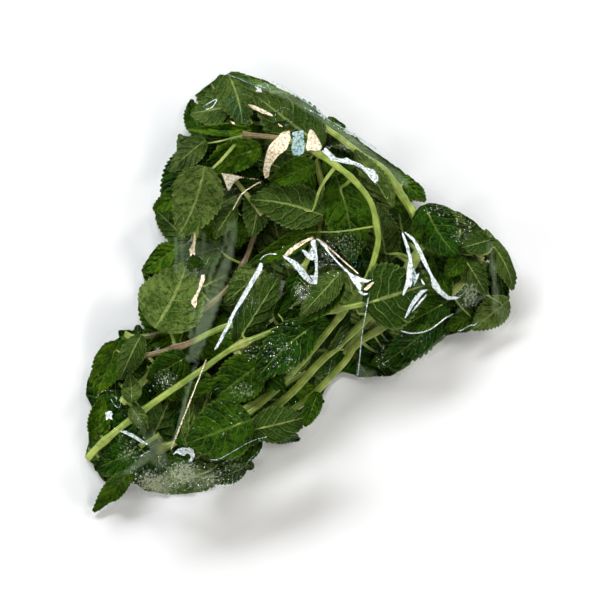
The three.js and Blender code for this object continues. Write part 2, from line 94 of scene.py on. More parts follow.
# %% The sprigs that show
SHOWN = [
    ("left_cut", 1.4, [123, 334, 136, 338, 170, 330, 215, 300, 240, 270, 255, 230, 262, 190],
     [(178, 245, 140, 272, 10, UPPER, 0, 1), (225, 245, 172, 262, 12, UPPER),
      (205, 213, 218, 243, 9, UPPER)],
     [(262, 182, 238, 247, 12, UPPER, -0.06), (262, 187, 252, 237, 12, UNDER, 0, 0.8),
      (241, 193, 205, 212, 9, UNDER), (235, 205, 214, 238, 8, UNDER),
      (270, 265, 224, 303, 14, UNDER, 0, 0.1)]),
    ("upper_left", 1.1, [262, 215, 235, 180, 215, 160, 200, 150],
     [(204, 134, 190, 96, 9, UPPER, 0.1), (196, 150, 160, 198, 14, UPPER),
      (190, 190, 151, 209, 9, UPPER, 0, 0.8)],
     [(230, 137, 178, 140, 6, UPPER, 0, 0), (216, 143, 190, 178, 5, UPPER)]),
    ("right", 1.7, [198, 482, 240, 440, 302, 404, 343, 364, 359, 343, 400, 318, 440, 300, 470, 275,
     480, 255],
     [(497, 255, 509, 303, 7, UPPER, 0, 0), (488, 240, 514, 290, 10, UNDER, 0.08),
      (395, 355, 372, 366, 7, UPPER), (395, 345, 362, 332, 8, UPPER),
      (478, 316, 448, 329, 9, UPPER), (510, 300, 474, 330, 12, UNDER, 0, 0)],
     [(438, 316, 380, 366, 14, UPPER, 0.05, 0), (450, 300, 399, 328, 12, UPPER),
      (433, 256, 450, 297, 8, UPPER), (463, 257, 487, 295, 10, UNDER),
      (463, 256, 445, 277, 8, UPPER), (490, 240, 461, 248, 9, UNDER, 0, 1.1)]),
    ("top", 1.5, [420, 228, 408, 205, 398, 190, 385, 170, 362, 155, 333, 133, 300, 112, 270, 98,
     235, 92],
     [(300, 112, 382, 156, 8, UNDER, -0.05), (262, 84, 318, 112, 7, UNDER, -0.04, 0),
      (262, 118, 238, 85, 10, UPPER, 0, 0), (403, 212, 396, 166, 11, UPPER),
      (400, 176, 427, 200, 9, UPPER, 0, 1)],
     [(276, 86, 245, 74, 6, UPPER, 0, 1), (243, 105, 190, 112, 17, UNDER, 0, 0.7),
      (228, 74, 243, 126, 16, UNDER, 0.05, 0.6), (265, 128, 188, 130, 5, UPPER, 0.03, 1),
      (392, 208, 355, 150, 10, UNDER)]),
    ("middle", 1.9, [186, 478, 236, 436, 288, 396, 320, 362, 354, 331, 385, 300, 415, 262, 419, 228,
     408, 203],
     [(432, 206, 470, 224, 6, UNDER), (388, 262, 376, 203, 14, UNDER)],
     [(424, 205, 455, 255, 18, UPPER, -0.05, 0), (412, 241, 421, 224, 4, UPPER),
      (327, 350, 350, 312, 7, UNDER, 0, 1)]),
    ("left_low", 1.5, [300, 300, 255, 318, 219, 329, 182, 346, 136, 358],
     [(118, 342, 92, 396, 13, UPPER, 0, 1), (188, 330, 148, 345, 8, UPPER, 0, 1),
      (145, 361, 124, 376, 6, UPPER)],
     [(141, 335, 119, 380, 10, UNDER, 0, 0.9), (155, 328, 187, 262, 27, UNDER, -0.04, 0),
      (188, 356, 147, 380, 12, UPPER)]),
    ("low_left", 1, [158, 436, 130, 453, 105, 466],
     [(150, 450, 130, 484, 8, UPPER, 0, 1)],
     [(140, 450, 93, 470, 12, UPPER), (130, 472, 90, 515, 8, UPPER, 0, 0.8)]),
    ("arch", 1.5, [180, 472, 224, 432, 270, 395, 307, 356, 346, 308, 366, 280, 377, 245, 376, 228,
     370, 203, 352, 180, 330, 163, 305, 148, 275, 139, 243, 137],
     [(300, 270, 283, 312, 7, UPPER, 0, 0), (317, 225, 250, 262, 8, UPPER, 0.05, 0.6),
      (312, 172, 288, 204, 10, UPPER, 0, 0.7), (322, 147, 256, 97, 22, UNDER),
      (336, 176, 352, 262, 19, UPPER, 0.05)],
     [(323, 216, 250, 200, 18, UNDER, -0.05), (315, 165, 270, 183, 10, UPPER),
      (262, 150, 203, 176, 12, UPPER, -0.06, 0.7), (207, 142, 168, 170, 10, UNDER),
      (206, 168, 178, 236, 20, UNDER, 0.05, 0)]),
    ("long", 1.5, [86, 460, 101, 444, 133, 418, 162, 397, 203, 369, 232, 349, 268, 333, 300, 321,
     326, 312, 362, 304],
     [(97, 446, 100, 398, 9, UPPER, 0.05, 1), (236, 345, 280, 275, 13, UNDER, 0, 1.1),
      (243, 355, 285, 388, 14, UPPER, 0, 0), (276, 318, 290, 290, 5, UPPER, 0, 0)],
     [(131, 407, 147, 429, 7, UNDER), (132, 402, 130, 375, 8, UNDER),
      (262, 362, 212, 400, 18, UPPER, 0, 0.35), (316, 324, 256, 380, 17, UPPER, -0.05, 0),
      (342, 280, 298, 322, 9, UPPER, 0.05), (341, 272, 300, 316, 10, UNDER),
      (364, 304, 425, 285, 27, UNDER, 0, 1.25)]),
    ("bottom", 1.2, [300, 420, 262, 432, 225, 440],
     [(228, 460, 146, 488, 14, UNDER, 0.05), (185, 449, 175, 425, 6, UPPER),
      (196, 462, 170, 454, 6, UPPER), (246, 466, 214, 482, 8, UPPER, 0, 0)],
     [(262, 440, 215, 462, 10, UPPER), (265, 428, 300, 440, 8, UPPER, 0, 0),
      (252, 429, 310, 415, 14, UNDER, 0, 1.1), (318, 392, 305, 425, 7, UPPER),
      (188, 445, 190, 392, 6, UNDER, 0, 0), (252, 418, 188, 442, 24, UPPER)]),
]
SPRIGS = [sprig_of(*row) for row in SHOWN]
print("sprigs that show:", len(SPRIGS))

# %% The sprigs hidden under them, and the bag
HIDDEN = [
    ("under_low", 3, [112, 462, 170, 446, 240, 412, 306, 372]),
    ("under_left", 4, [120, 404, 168, 350, 186, 290, 196, 226]),
    ("under_top", 5, [190, 200, 214, 148, 270, 116, 332, 142]),
    ("under_centre", 7, [236, 356, 290, 290, 322, 220, 318, 160]),
    ("under_right", 8, [346, 356, 392, 292, 430, 244, 488, 262]),
]
HIDDEN_RADIUS = 1.5
HIDDEN_PAIRS = 4
HIDDEN_LENGTH = (60, 72)
HIDDEN_WIDTH_SHARE = (0.56, 0.66)
HIDDEN_ANGLE = (46, 64)
HIDDEN_STALK = 8
SHORTEN = 0.94
BAG_OUTLINE = [
    216, 65, 246, 68, 270, 78, 304, 93, 334, 110, 378, 143, 410, 168, 434, 191, 466, 207, 496, 229,
    510, 246, 521, 270, 525, 292, 518, 314, 502, 335, 470, 343, 446, 348, 414, 372, 394, 384,
    358, 385, 338, 386, 328, 408, 308, 446, 272, 452, 256, 484, 228, 493, 188, 497, 146, 502,
    120, 500, 92, 524, 78, 516, 86, 490, 75, 462, 80, 430, 76, 398, 84, 364, 104, 338, 112, 324,
    138, 320, 132, 296, 134, 266, 156, 238, 144, 212, 152, 184, 158, 158, 172, 134, 177, 112,
    186, 88, 204, 74,
]
VENTS = [place((194.5, 264)), place((284, 118))]
VENT_RADIUS = 3.0
SEAM = 1.0
MARGIN = 0.5


# %% [markdown]
# ## Lines in the plan
#
# Stems and the bag's edge are smooth lines through a few points. A Catmull-Rom spline passes
# through every point that it is given, which suits points read off a photograph. To find a place
# at a share of the line's length, the line is cut into many short chords that are measured.

# %% Splines
def spline_points(points, shares):
    """Places on the spline through the points, at shares of its parameter."""
    points = np.asarray(points, float)
    last = len(points) - 1
    at = np.clip(shares, 0, 1) * last
    start = np.minimum(np.floor(at).astype(int), last)
    weight = (at - start)[:, None]
    p0, p1 = points[np.maximum(start - 1, 0)], points[start]
    p2, p3 = points[np.minimum(start + 1, last)], points[np.minimum(start + 2, last)]
    v0, v1 = (p2 - p0) / 2, (p3 - p1) / 2
    cubic = (2 * p1 - 2 * p2 + v0 + v1) * weight**3
    return cubic + (-3 * p1 + 3 * p2 - 2 * v0 - v1) * weight**2 + v0 * weight + p1


def smoothly(values, shares):
    """Single numbers drawn smoothly between values at even steps."""
    return spline_points(np.stack([values] * 2, 1), shares)[:, 0]


def evenly(values, shares):
    """Single numbers drawn straight between values at even steps."""
    return np.interp(shares, np.linspace(0, 1, len(values)), values)


def size_of(steps):
    return np.hypot(steps[..., 0], steps[..., 1])


class Route:
    """A line in the plan that is walked by shares of its length."""

    def __init__(self, points):
        self.points = np.asarray(points, float)
        self.marks = np.linspace(0, 1, 201)
        chords = np.diff(spline_points(self.points, self.marks), axis=0)
        self.lengths = np.concatenate([[0], np.cumsum(size_of(chords))])
        self.length = self.lengths[-1]

    def parameter(self, shares):
        return np.interp(np.asarray(shares) * self.length, self.lengths, self.marks)

    def at(self, shares):
        return spline_points(self.points, self.parameter(shares))

    def heading(self, shares):
        middle = self.parameter(shares)
        ahead = spline_points(self.points, np.clip(middle + 1e-4, 0, 1))
        step = ahead - spline_points(self.points, np.clip(middle - 1e-4, 0, 1))
        return step / size_of(step)[:, None]

    def spot(self, share):
        """One place on the line and the heading there."""
        share = np.array([share])
        return self.at(share)[0], self.heading(share)[0]

    def nearest(self, point):
        shares = np.arange(0, 1.0001, 0.01)
        return shares[np.argmin(size_of(self.at(shares) - point))]


def left(heading):
    return np.stack([-heading[..., 1], heading[..., 0]], axis=-1)


# %% The bag's edge in the plan
def closed_spline(points, count):
    """Evenly spaced places on the closed line through the points, tight at sharp corners."""
    total = len(points)
    at = np.linspace(0, 1, 201) * total
    start = np.floor(at).astype(int)
    weight = (at - start)[:, None]
    x0, x1, x2, x3 = (points[(start + step) % total] for step in (-1, 0, 1, 2))
    gaps = [np.sqrt(size_of(b - a))[:, None] for a, b in ((x0, x1), (x1, x2), (x2, x3))]
    t1 = (x1 - x0) / gaps[0] - (x2 - x0) / (gaps[0] + gaps[1]) + (x2 - x1) / gaps[1]
    t2 = (x2 - x1) / gaps[1] - (x3 - x1) / (gaps[1] + gaps[2]) + (x3 - x2) / gaps[2]
    t1, t2 = t1 * gaps[1], t2 * gaps[1]
    rest = (-3 * x1 + 3 * x2 - 2 * t1 - t2) * weight**2
    line = x1 + t1 * weight + rest + (2 * x1 - 2 * x2 + t1 + t2) * weight**3
    run = np.concatenate([[0], np.cumsum(size_of(np.diff(line, axis=0)))])
    marks = np.linspace(0, run[-1], count + 1)[:-1]
    return np.stack([np.interp(marks, run, line[:, axis]) for axis in (0, 1)], axis=1)


def inset(line, distance):
    """A closed line moved inwards."""
    along = np.roll(line, -1, axis=0) - np.roll(line, 1, axis=0)
    return line - left(along / size_of(along)[:, None]) * distance


def is_inside(points, line):
    """Whether each point lies inside a closed line, by counting the sides that it is beside."""
    x, y = points[:, 0][:, None], points[:, 1][:, None]
    there = np.roll(line, 1, axis=0)
    spans = (line[:, 1] > y) != (there[:, 1] > y)
    rise = there[:, 1] - line[:, 1]
    rise = np.where(rise == 0, 1e-12, rise)
    cross = line[:, 0] + (there[:, 0] - line[:, 0]) * (y - line[:, 1]) / rise
    return (np.sum(spans & (x < cross), axis=1) % 2) == 1


OUTLINE = closed_spline(traced(BAG_OUTLINE), 50)
ROOM = inset(OUTLINE, SEAM + MARGIN)
PRESS_SHARE = 0.12
PRESS_STEPS = 16
print("bag edge:", np.ptp(OUTLINE, axis=0).round(1), "mm")


def press_in(points, middle):
    """Draws points that lie outside the bag towards a middle, in steps, as for the solids."""
    points = points.copy()
    for _ in range(PRESS_STEPS):
        outside = ~is_inside(points, ROOM)
        points[outside] += (middle - points[outside]) * PRESS_SHARE
    return points


# %% The hidden sprigs' leaves, by the same rule as their solids
def draws(seed):
    """Repeatable numbers from 0 to 1."""
    while True:
        seed = (seed * 1664525 + 1013904223) % 4294967296
        yield seed / 4294967296


def mix(low, high, share):
    return low + (high - low) * share


def hidden_sprig(name, seed, stem):
    draw = draws(seed)
    route = Route(np.reshape(stem, (-1, 2)))
    leaves = []
    for pair in range(HIDDEN_PAIRS):
        base, along = route.spot((pair + 0.6) / HIDDEN_PAIRS)
        for side in (-1, 1):
            angle = side * math.radians(mix(*HIDDEN_ANGLE, next(draw)))
            ahead = complex(*along) * complex(math.cos(angle), math.sin(angle))
            heading = np.array([ahead.real, ahead.imag])
            root = base + heading * HIDDEN_STALK
            wanted = mix(*HIDDEN_LENGTH, next(draw))
            reach = wanted
            while reach > wanted / 2 and not is_inside(place([root + heading * reach]), ROOM)[0]:
                reach *= SHORTEN
            wide = reach / PIXELS_PER_MM * mix(*HIDDEN_WIDTH_SHARE, next(draw))
            shows = UPPER if next(draw) < 0.5 else UNDER
            leaves.append((*root, *(root + heading * reach), wide, shows))
    half = len(leaves) // 2
    return sprig_of(name, HIDDEN_RADIUS, stem, leaves[:half], leaves[half:])


UNDER_SPRIGS = [hidden_sprig(*row) for row in HIDDEN]
SPRIGS = UNDER_SPRIGS + SPRIGS
print("leaves:", sum(len(sprig["under"] + sprig["over"]) for sprig in SPRIGS))


# %% [markdown]
# ## Reading heights off the solids
#
# The film squeezes the heap, so where each leaf lies in height is settled by all that lies under
# it. The solids already hold that. A solid's corner that has the plan place of a leaf's row end
# tells how high the leaf is there, so the finer leaf can be hung on those heights.

# %% Corners of a solid by their place in the plan
SAME_PLACE = 0.03


def read(items, name, width=1, kind=float):
    """The numbers of all points, edges, faces or corners of a mesh, a row for each."""
    values = np.empty(len(items) * width, kind)
    items.foreach_get(name, values)
    return values.reshape(-1, width) if width > 1 else values


def coordinates(mesh):
    return read(mesh.vertices, "co", 3)


class Solid:
    """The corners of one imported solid, in millimetres."""

    def __init__(self, node):
        self.corners = np.unique(coordinates(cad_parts[node].data).round(7), axis=0) / MM

    def heights(self, at):
        """All heights of corners at a place in the plan."""
        return self.corners[size_of(self.corners[:, :2] - at) < SAME_PLACE, 2]


def fill_gaps(values):
    """Numbers with their unknown ones drawn straight between the known ones."""
    known = np.isfinite(values)
    steps = np.arange(len(values))
    return np.interp(steps, steps[known], values[known]) if known.any() else values


# %% [markdown]
# ## One leaf
#
# A mint leaf is a pointed oval blade with forward teeth, and its side veins are sunk on top and
# raised underneath, so the blade looks quilted. One flat grid is cut to rows and columns once and
# copied for each leaf. Its rows run from root to tip and its columns from edge to edge, so the same
# few formulas can set the outline, the quilting and the waves of every leaf.

# %% The shape of a blade in the plan
LONG_BLADE = 31.0
COARSE_ROWS = (4, 6)
COARSE_TOOTH = 0.09
ROOT_SHARE = 0.14
TIP_SHARE = 0.07


def blade_shape(share):
    """Half a blade's width at a share of its length, as a share of its widest half."""
    return np.clip(np.sin(np.pi * share**0.74), 0, None) ** 0.85


class Rib:
    """The midrib's line in the plan, bent sideways between a leaf's root and tip."""

    def __init__(self, spec):
        self.start, self.end = place(spec["root"]), place(spec["tip"])
        along = self.end - self.start
        self.length = size_of(along)
        self.middle = (self.start + self.end) / 2 + left(along) * spec["bend"] * 2

    def at(self, share):
        share = np.asarray(share, float)[..., None]
        first = self.start * (1 - share) ** 2 + self.middle * 2 * share * (1 - share)
        return first + self.end * share**2

    def heading(self, share):
        share = np.asarray(share, float)[..., None]
        step = (self.middle - self.start) * (1 - share) + (self.end - self.middle) * share
        return step / size_of(step)[..., None]


def coarse_plan(spec):
    """The plan places of a solid leaf's corners: a row of three at each step from root to tip."""
    rib = Rib(spec)
    rows = COARSE_ROWS[int(rib.length > LONG_BLADE)]
    shares = np.arange(rows + 1) / rows
    tooth = 1 + COARSE_TOOTH * np.where(np.arange(rows + 1) % 2, 1, -1)
    least = mix(ROOT_SHARE, TIP_SHARE, shares)
    half = spec["wide"] / 2 * np.maximum(blade_shape(shares) * tooth, least)
    sideways = left(rib.heading(shares)) * half[:, None]
    points = rib.at(shares)[:, None] + sideways[:, None] * np.array([-1, 0, 1])[None, :, None]
    return press_in(points.reshape(-1, 2), rib.at(0.5)).reshape(rows + 1, 3, 2)


def hang(spec, solid):
    """Reads a leaf's heights off its solid: those that a stalk hides are filled in."""
    plan = coarse_plan(spec)
    tops = np.full(plan.shape[:2], np.nan)
    for row, column in np.ndindex(tops.shape):
        found = solid.heights(plan[row, column])
        if len(found):
            tops[row, column] = found.max()
    kept = np.isnan(tops).sum() < tops.size / 2
    for column in range(3):
        if np.isfinite(tops[:, column]).sum() >= 2:
            tops[:, column] = fill_gaps(tops[:, column])
    spec.update(plan=plan, tops=np.array([fill_gaps(row) for row in tops]), kept=kept)


def leaves_of(sprig):
    """A sprig's leaves that found room in the solids."""
    return [spec for spec in sprig["under"] + sprig["over"] if spec["kept"]]


for sprig in SPRIGS:
    sprig["solid"] = Solid(sprig["name"])
    for spec in sprig["under"] + sprig["over"]:
        hang(spec, sprig["solid"])
print("leaves that lie on their solids:", sum(len(leaves_of(sprig)) for sprig in SPRIGS))

# %% The flat grid that every leaf is copied from
SHOWN_GRID = (20, 52)
HIDDEN_GRID = (10, 24)


def edit(editing=True):
    """Goes into edit mode or out of it."""
    bpy.ops.object.mode_set(mode="EDIT" if editing else "OBJECT")


def deselect():
    """Leaves edit mode and selects nothing."""
    if bpy.context.object and bpy.context.object.mode == "EDIT":
        edit(False)
    bpy.ops.object.select_all(action="DESELECT")


def leaf_master(grid):
    """A flat grid: x runs from edge to edge, y from root to tip."""
    deselect()
    bpy.ops.mesh.primitive_grid_add(x_subdivisions=grid[0], y_subdivisions=grid[1], size=1)
    edit()
    bpy.ops.transform.translate(value=(0, 0.5, 0))
    edit(False)
    return bpy.context.object


LEAF_MASTERS = {grid: leaf_master(grid) for grid in (SHOWN_GRID, HIDDEN_GRID)}
for grid, master in LEAF_MASTERS.items():
    print("leaf grid", grid, "has", len(master.data.polygons), "faces")

# %% [markdown]
# The edge of a mint leaf is cut like a saw whose teeth point to the tip. Four rows make one tooth:
# the edge moves out over three rows and falls back over the fourth. The side veins leave the midrib
# at a slant, so a vein is a line where a slanted measure of the length is a whole number, and the
# blade swells between two such lines. The shader reads the same measure, so colour and relief
# agree.

# %% Outline, quilting and waves
TOOTH_OUT = np.array([0.0, 0.5, 0.85, 1.0])
TOOTH_DEPTH = 0.85
TOOTH_LEAN = 0.011
VEIN_PAIRS = 6
VEIN_SWEEP = 0.2
VEIN_CURVE = 0.1
VEIN_STAGGER = 0.35
QUILT_HEIGHT = 0.5
RIB_HEIGHT = 0.4
RIB_WIDTH = 0.55
WAVE_HEIGHT = 0.3
CRUMPLE = 0.16
CRUMPLE_WAVES = (7.0, 10.5, 15.0, 8.5)
BLADE_DEPTH = 0.28
CLEAR = 0.12
TOP_SHARE = 0.04
LOWEST = 0.45
GROWN_WIDTH = 14


def smooth_step(value):
    value = np.clip(value, 0, 1)
    return value * value * (3 - 2 * value)


def press_close(points, middle, room):
    """Draws points outside a closed line towards a middle, just as far as it needs."""
    outside = np.flatnonzero(~is_inside(points, room))
    start, inward = points[outside], middle - points[outside]
    low, high = np.zeros((2, len(outside), 1))
    high += 1
    for _ in range(10):
        trial = (low + high) / 2
        held = is_inside(start + inward * trial, room)[:, None]
        low, high = np.where(held, low, trial), np.where(held, trial, high)
    points[outside] += inward * high
    return points


def blade_points(spec, across, share, random):
    """The top of a blade: its points in millimetres at shares across and along it."""
    rib, wide, edge = Rib(spec), spec["wide"], np.abs(across)
    tooth = TOOTH_OUT[np.rint(share * SHOWN_GRID[1]).astype(int) % len(TOOTH_OUT)]
    small = np.clip(wide / GROWN_WIDTH, 0.4, 1)
    envelope = blade_shape(share * (1 - TOP_SHARE) + TOP_SHARE / 2)
    half = wide / 2 * np.maximum(envelope, mix(0.1, 0.01, share))
    bite = TOOTH_DEPTH * small * (tooth - 0.4) * edge**4 * smooth_step(envelope * 2.2)
    shares = np.clip(share + TOOTH_LEAN * tooth * edge**6, 0, 1)
    sideways = left(rib.heading(shares)) * (half * across + bite * np.sign(across))[:, None]
    points = press_close(rib.at(shares) + sideways, rib.at(0.5), spec.get("edge", ROOM))
    before, middle, after = (smoothly(column, share) for column in spec["tops"].T)
    curve = (before + after) / 2 - middle
    height = middle + (after - before) / 2 * across + curve * edge**1.5
    vein = VEIN_PAIRS * (share - VEIN_SWEEP * edge - VEIN_CURVE * edge**2)
    vein = vein + VEIN_STAGGER * (across > 0)
    inner = smooth_step(edge * 5) * smooth_step((1 - edge) * 3) * smooth_step(envelope * 1.6)
    quilt = (np.abs(np.sin(np.pi * vein)) ** 0.7 - 0.5) * QUILT_HEIGHT * inner * small
    sunk = RIB_HEIGHT * np.exp(-((across * half / RIB_WIDTH) ** 2)) * (1 - 0.7 * share)
    relief = quilt - sunk if spec["shows"] == UPPER else sunk * 0.8 - quilt
    waves = np.sin(2 * np.pi * (random[0] + share * (2 + random[1] * 2)) + across)
    crumple = np.zeros(len(share))
    for turn, wave in zip(random, CRUMPLE_WAVES):
        angle = turn * 6.28
        along = points[:, 0] * math.cos(angle) + points[:, 1] * math.sin(angle)
        crumple += np.sin(2 * np.pi * (along / wave + turn * 3))
    relief = relief + WAVE_HEIGHT * waves * edge**3 * envelope
    height += relief + CRUMPLE * crumple * envelope - CLEAR
    return np.column_stack([points, np.maximum(height, LOWEST)])


# %% A leaf as an object
def copy_of(master):
    """A copy with its own mesh."""
    made = master.copy()
    made.data = master.data.copy()
    bpy.context.collection.objects.link(made)
    return made


def set_points(mesh, points):
    mesh.vertices.foreach_set("co", (np.asarray(points) * MM).ravel())
    mesh.update()


def paint(mesh, name, values):
    """Stores one number for each point, for the shaders to read."""
    layer = mesh.attributes.new(name, "FLOAT", "POINT")
    layer.data.foreach_set("value", np.broadcast_to(values, len(mesh.vertices)).astype(float))


def lay_uv(mesh, name, values):
    """Stores a pair of numbers for each point as a UV map."""
    corners = read(mesh.loops, "vertex_index", 1, int)
    layer = mesh.uv_layers.new(name=name)
    layer.uv.foreach_set("vector", np.asarray(values, float)[corners].ravel())


def make_leaf(spec, grid, random):
    blade = copy_of(LEAF_MASTERS[grid])
    mesh = blade.data
    flat = coordinates(mesh)
    across, share = flat[:, 0] * -2, flat[:, 1]
    points = blade_points(spec, across, share, random.random(4))
    spec["points"] = points.reshape(grid[1] + 1, grid[0] + 1, 3)
    set_points(mesh, points)
    lay_uv(mesh, "leaf", np.column_stack([across / 2 + 0.5, share]))
    size = np.column_stack([across * spec["wide"] / 2, share * Rib(spec).length])
    lay_uv(mesh, "blade", size / 10)
    guess = random.random()
    paint(mesh, "tone", guess if spec["tone"] is None else spec["tone"])
    side = 0 if spec["shows"] == UPPER else 1
    mesh.polygons.foreach_set("material_index", [side] * len(mesh.polygons))
    return blade


# %% [markdown]
# ## Stems and leaf stalks
#
# A mint stem is square with rounded corners, a little swollen where each pair of leaves sits, and
# cut straight at its end. The rod starts as a cylinder whose sides are cut into rings, and each
# ring is then carried to its place along the route. The solids' own rings give the heights.

# %% The rods that stems and stalks are copied from
STEM_RINGS = (16, 64)
STALK_RINGS = (8, 10)


def rod_master(sides, rings):
    """An upright cylinder of length 1 with closed ends, cut into rings."""
    deselect()
    bpy.ops.mesh.primitive_cylinder_add(vertices=sides, radius=1, depth=1, location=(0, 0, 0.5))
    master = bpy.context.object
    bpy.ops.object.transform_apply(location=True)
    edit()
    bpy.ops.mesh.select_mode(type="EDGE")
    bpy.ops.mesh.select_all(action="DESELECT")
    edit(False)
    ends = coordinates(master.data)[:, 2]
    for edge in master.data.edges:
        edge.select = bool(np.ptp(ends[list(edge.vertices)]) > 0.5)
    edit()
    bpy.ops.mesh.subdivide(number_cuts=rings - 1)
    edit(False)
    return master


STEM_MASTER = rod_master(*STEM_RINGS)
STALK_MASTER = rod_master(*STALK_RINGS)
print("stem faces:", len(STEM_MASTER.data.polygons))

# %% Bending a rod along its route
SQUARE = 0.07
RIDGE = 0.02
ROD_LOWEST = 0.15
RODS = []


def make_rod(master, route, heights, radii, tone):
    """A copy of a rod with its rings on a route. Heights, radii and tone are at even steps."""
    rod = copy_of(master)
    mesh = rod.data
    flat = coordinates(mesh)
    share = np.clip(flat[:, 2], 0, 1)
    angle = np.arctan2(flat[:, 0], flat[:, 1])
    radius = evenly(radii, share) * (1 - SQUARE * np.cos(4 * angle) + RIDGE * np.cos(8 * angle))
    sideways = left(route.heading(share)) * (radius * np.sin(angle))[:, None]
    tops = smoothly(heights, share) + radius * np.cos(angle)
    points = np.column_stack([route.at(share) + sideways, np.maximum(tops, ROD_LOWEST)])
    set_points(mesh, points)
    lay_uv(mesh, "leaf", np.column_stack([angle / (2 * np.pi) + 0.5, share]))
    lay_uv(mesh, "blade", np.column_stack([angle * radius, share * route.length]) / 10)
    paint(mesh, "tone", evenly(tone, share))
    RODS.append(points)
    return rod


# %% Stem heights from the solids
STEM_STEP = 15.0
STEM_SIDES = 5
STEM_TAPER = 0.72
PETIOLE_RADIUS = 0.75


def ring_heights(solid, route, shares, radii, sides):
    """Centre heights of a solid rod's rings, unknown where other parts swallow all corners."""
    heights = []
    for share, radius in zip(shares, radii):
        at, along = route.spot(share)
        found = []
        for side in range(sides):
            angle = 2 * np.pi * side / sides
            corner = at - left(along) * radius * math.sin(angle)
            found += list(solid.heights(corner) - radius * math.cos(angle))
        heights.append(np.median(found) if found else np.nan)
    return np.array(heights)


for sprig in SPRIGS:
    route = Route(traced(sprig["stem"]))
    steps = round(route.length / STEM_STEP)
    shares = np.arange(steps + 1) / steps
    radii = sprig["radius"] * mix(1, STEM_TAPER, shares)
    rises = ring_heights(sprig["solid"], route, shares, radii, STEM_SIDES)
    sprig.update(route=route, rises=fill_gaps(rises))
    print(sprig["name"], "stem rings found:", np.isfinite(rises).sum(), "of", steps + 1)


# %% [markdown]
# ## Finishes
#
# A leaf's colour is not one green. Its upper side is dark and half glossy, with sunk veins that
# stay a little lighter, and its underside is pale and dull with raised veins. Both read the same
# vein pattern and the same grain, so each of those is built once as a node group. The veins work
# on the leaf's own UV map, which runs from edge to edge and from root to tip, so they follow every
# bend of the blade. The vein group also paints a lighter line along the blade's margin, as a
# painted rim highlight.

# %% Node maths that reads like plain maths
class Wire:
    """The value that leaves a node's socket."""

    def __init__(self, socket):
        self.socket, self.tree = socket, socket.id_data

    def __add__(self, other):
        return maths("ADD", self, other)

    def __mul__(self, other):
        return maths("MULTIPLY", self, other)

    def __sub__(self, other):
        return maths("SUBTRACT", self, other)

    def __rsub__(self, other):
        return maths("SUBTRACT", other, self)


def connect(node, inputs):
    """Sets a node's inputs to values or joins them to wires."""
    for key, value in inputs.items():
        if isinstance(value, Wire):
            value.tree.links.new(value.socket, node.inputs[key])
        else:
            node.inputs[key].default_value = value


def add(tree, kind, inputs=None, out=0, **settings):
    """A new node with its settings and inputs, as the wire that leaves one of its sockets."""
    made = tree.nodes.new("ShaderNode" + kind)
    for name, value in settings.items():
        setattr(made, name, value)
    connect(made, inputs or {})
    return Wire(made.outputs[out])


def maths(operation, *values):
    tree = next(value.tree for value in values if isinstance(value, Wire))
    return add(tree, "Math", dict(enumerate(values)), operation=operation)


def most(first, *others):
    """The highest of several wires."""
    for other in others:
        first = maths("MAXIMUM", first, other)
    return first


def fit(value, low, high, to_low=0, to_high=1):
    """A value carried smoothly from one range to another."""
    inputs = dict(enumerate((value, low, high, to_low, to_high)))
    return add(value.tree, "MapRange", inputs, interpolation_type="SMOOTHSTEP")


def blend(share, first, second):
    """Two colours mixed, each a wire or its red, green and blue."""
    first, second = (c if isinstance(c, Wire) else (*c, 1) for c in (first, second))
    return add(share.tree, "Mix", {0: share, 6: first, 7: second}, 2, data_type="RGBA")


def layered(ground, *layers):
    """A ground with colours laid over it, each with its mask and its strength."""
    for mask, strength, colour in layers:
        ground = blend(mask * strength, ground, colour)
    return ground


# %% Nodes that the finishes share
def speckle(tree, scale, detail, roughness=0.6):
    """Noise fixed to the object's own place."""
    where = add(tree, "TexCoord", out="Object")
    inputs = {"Vector": where, "Scale": scale, "Detail": detail, "Roughness": roughness}
    return add(tree, "TexNoise", inputs)


def number(tree, name):
    return add(tree, "Attribute", out="Fac", attribute_name=name)


def bump(height, depth, strength=1):
    inputs = {"Height": height, "Distance": depth * MM, "Strength": strength}
    return add(height.tree, "Bump", inputs)


def finish(name):
    """A new material and its Principled shader."""
    material = bpy.data.materials.new(name)
    material.use_nodes = True
    return material, material.node_tree, material.node_tree.nodes["Principled BSDF"]


def facing(tree, power):
    """How far a surface turns away from the eye, raised to a power."""
    return maths("POWER", add(tree, "LayerWeight", {"Blend": 0.5}, "Facing"), power)


def show_through(tree, shader, seen):
    """Lets light through a finish: seen is the share of the shader that stays."""
    clear = add(tree, "BsdfTransparent")
    mixed = add(tree, "MixShader", {0: seen, 1: clear, 2: Wire(shader.outputs[0])})
    connect(tree.nodes["Material Output"], {0: mixed})


def new_group(name, given, made):
    """An empty node group with named sockets for numbers."""
    tree = bpy.data.node_groups.new(name, "ShaderNodeTree")
    for way, names in (("OUTPUT", made), ("INPUT", given)):
        for socket in names:
            tree.interface.new_socket(socket, in_out=way, socket_type="NodeSocketFloat")
    return tree


def use(tree, group, inputs):
    """A node group placed in a finish, as a wire for each thing that it puts out."""
    made = tree.nodes.new("ShaderNodeGroup")
    made.node_tree = group
    connect(made, inputs)
    return [Wire(socket) for socket in made.outputs]


# %% The vein pattern and the grain as node groups
NET_SCALE = 7.0


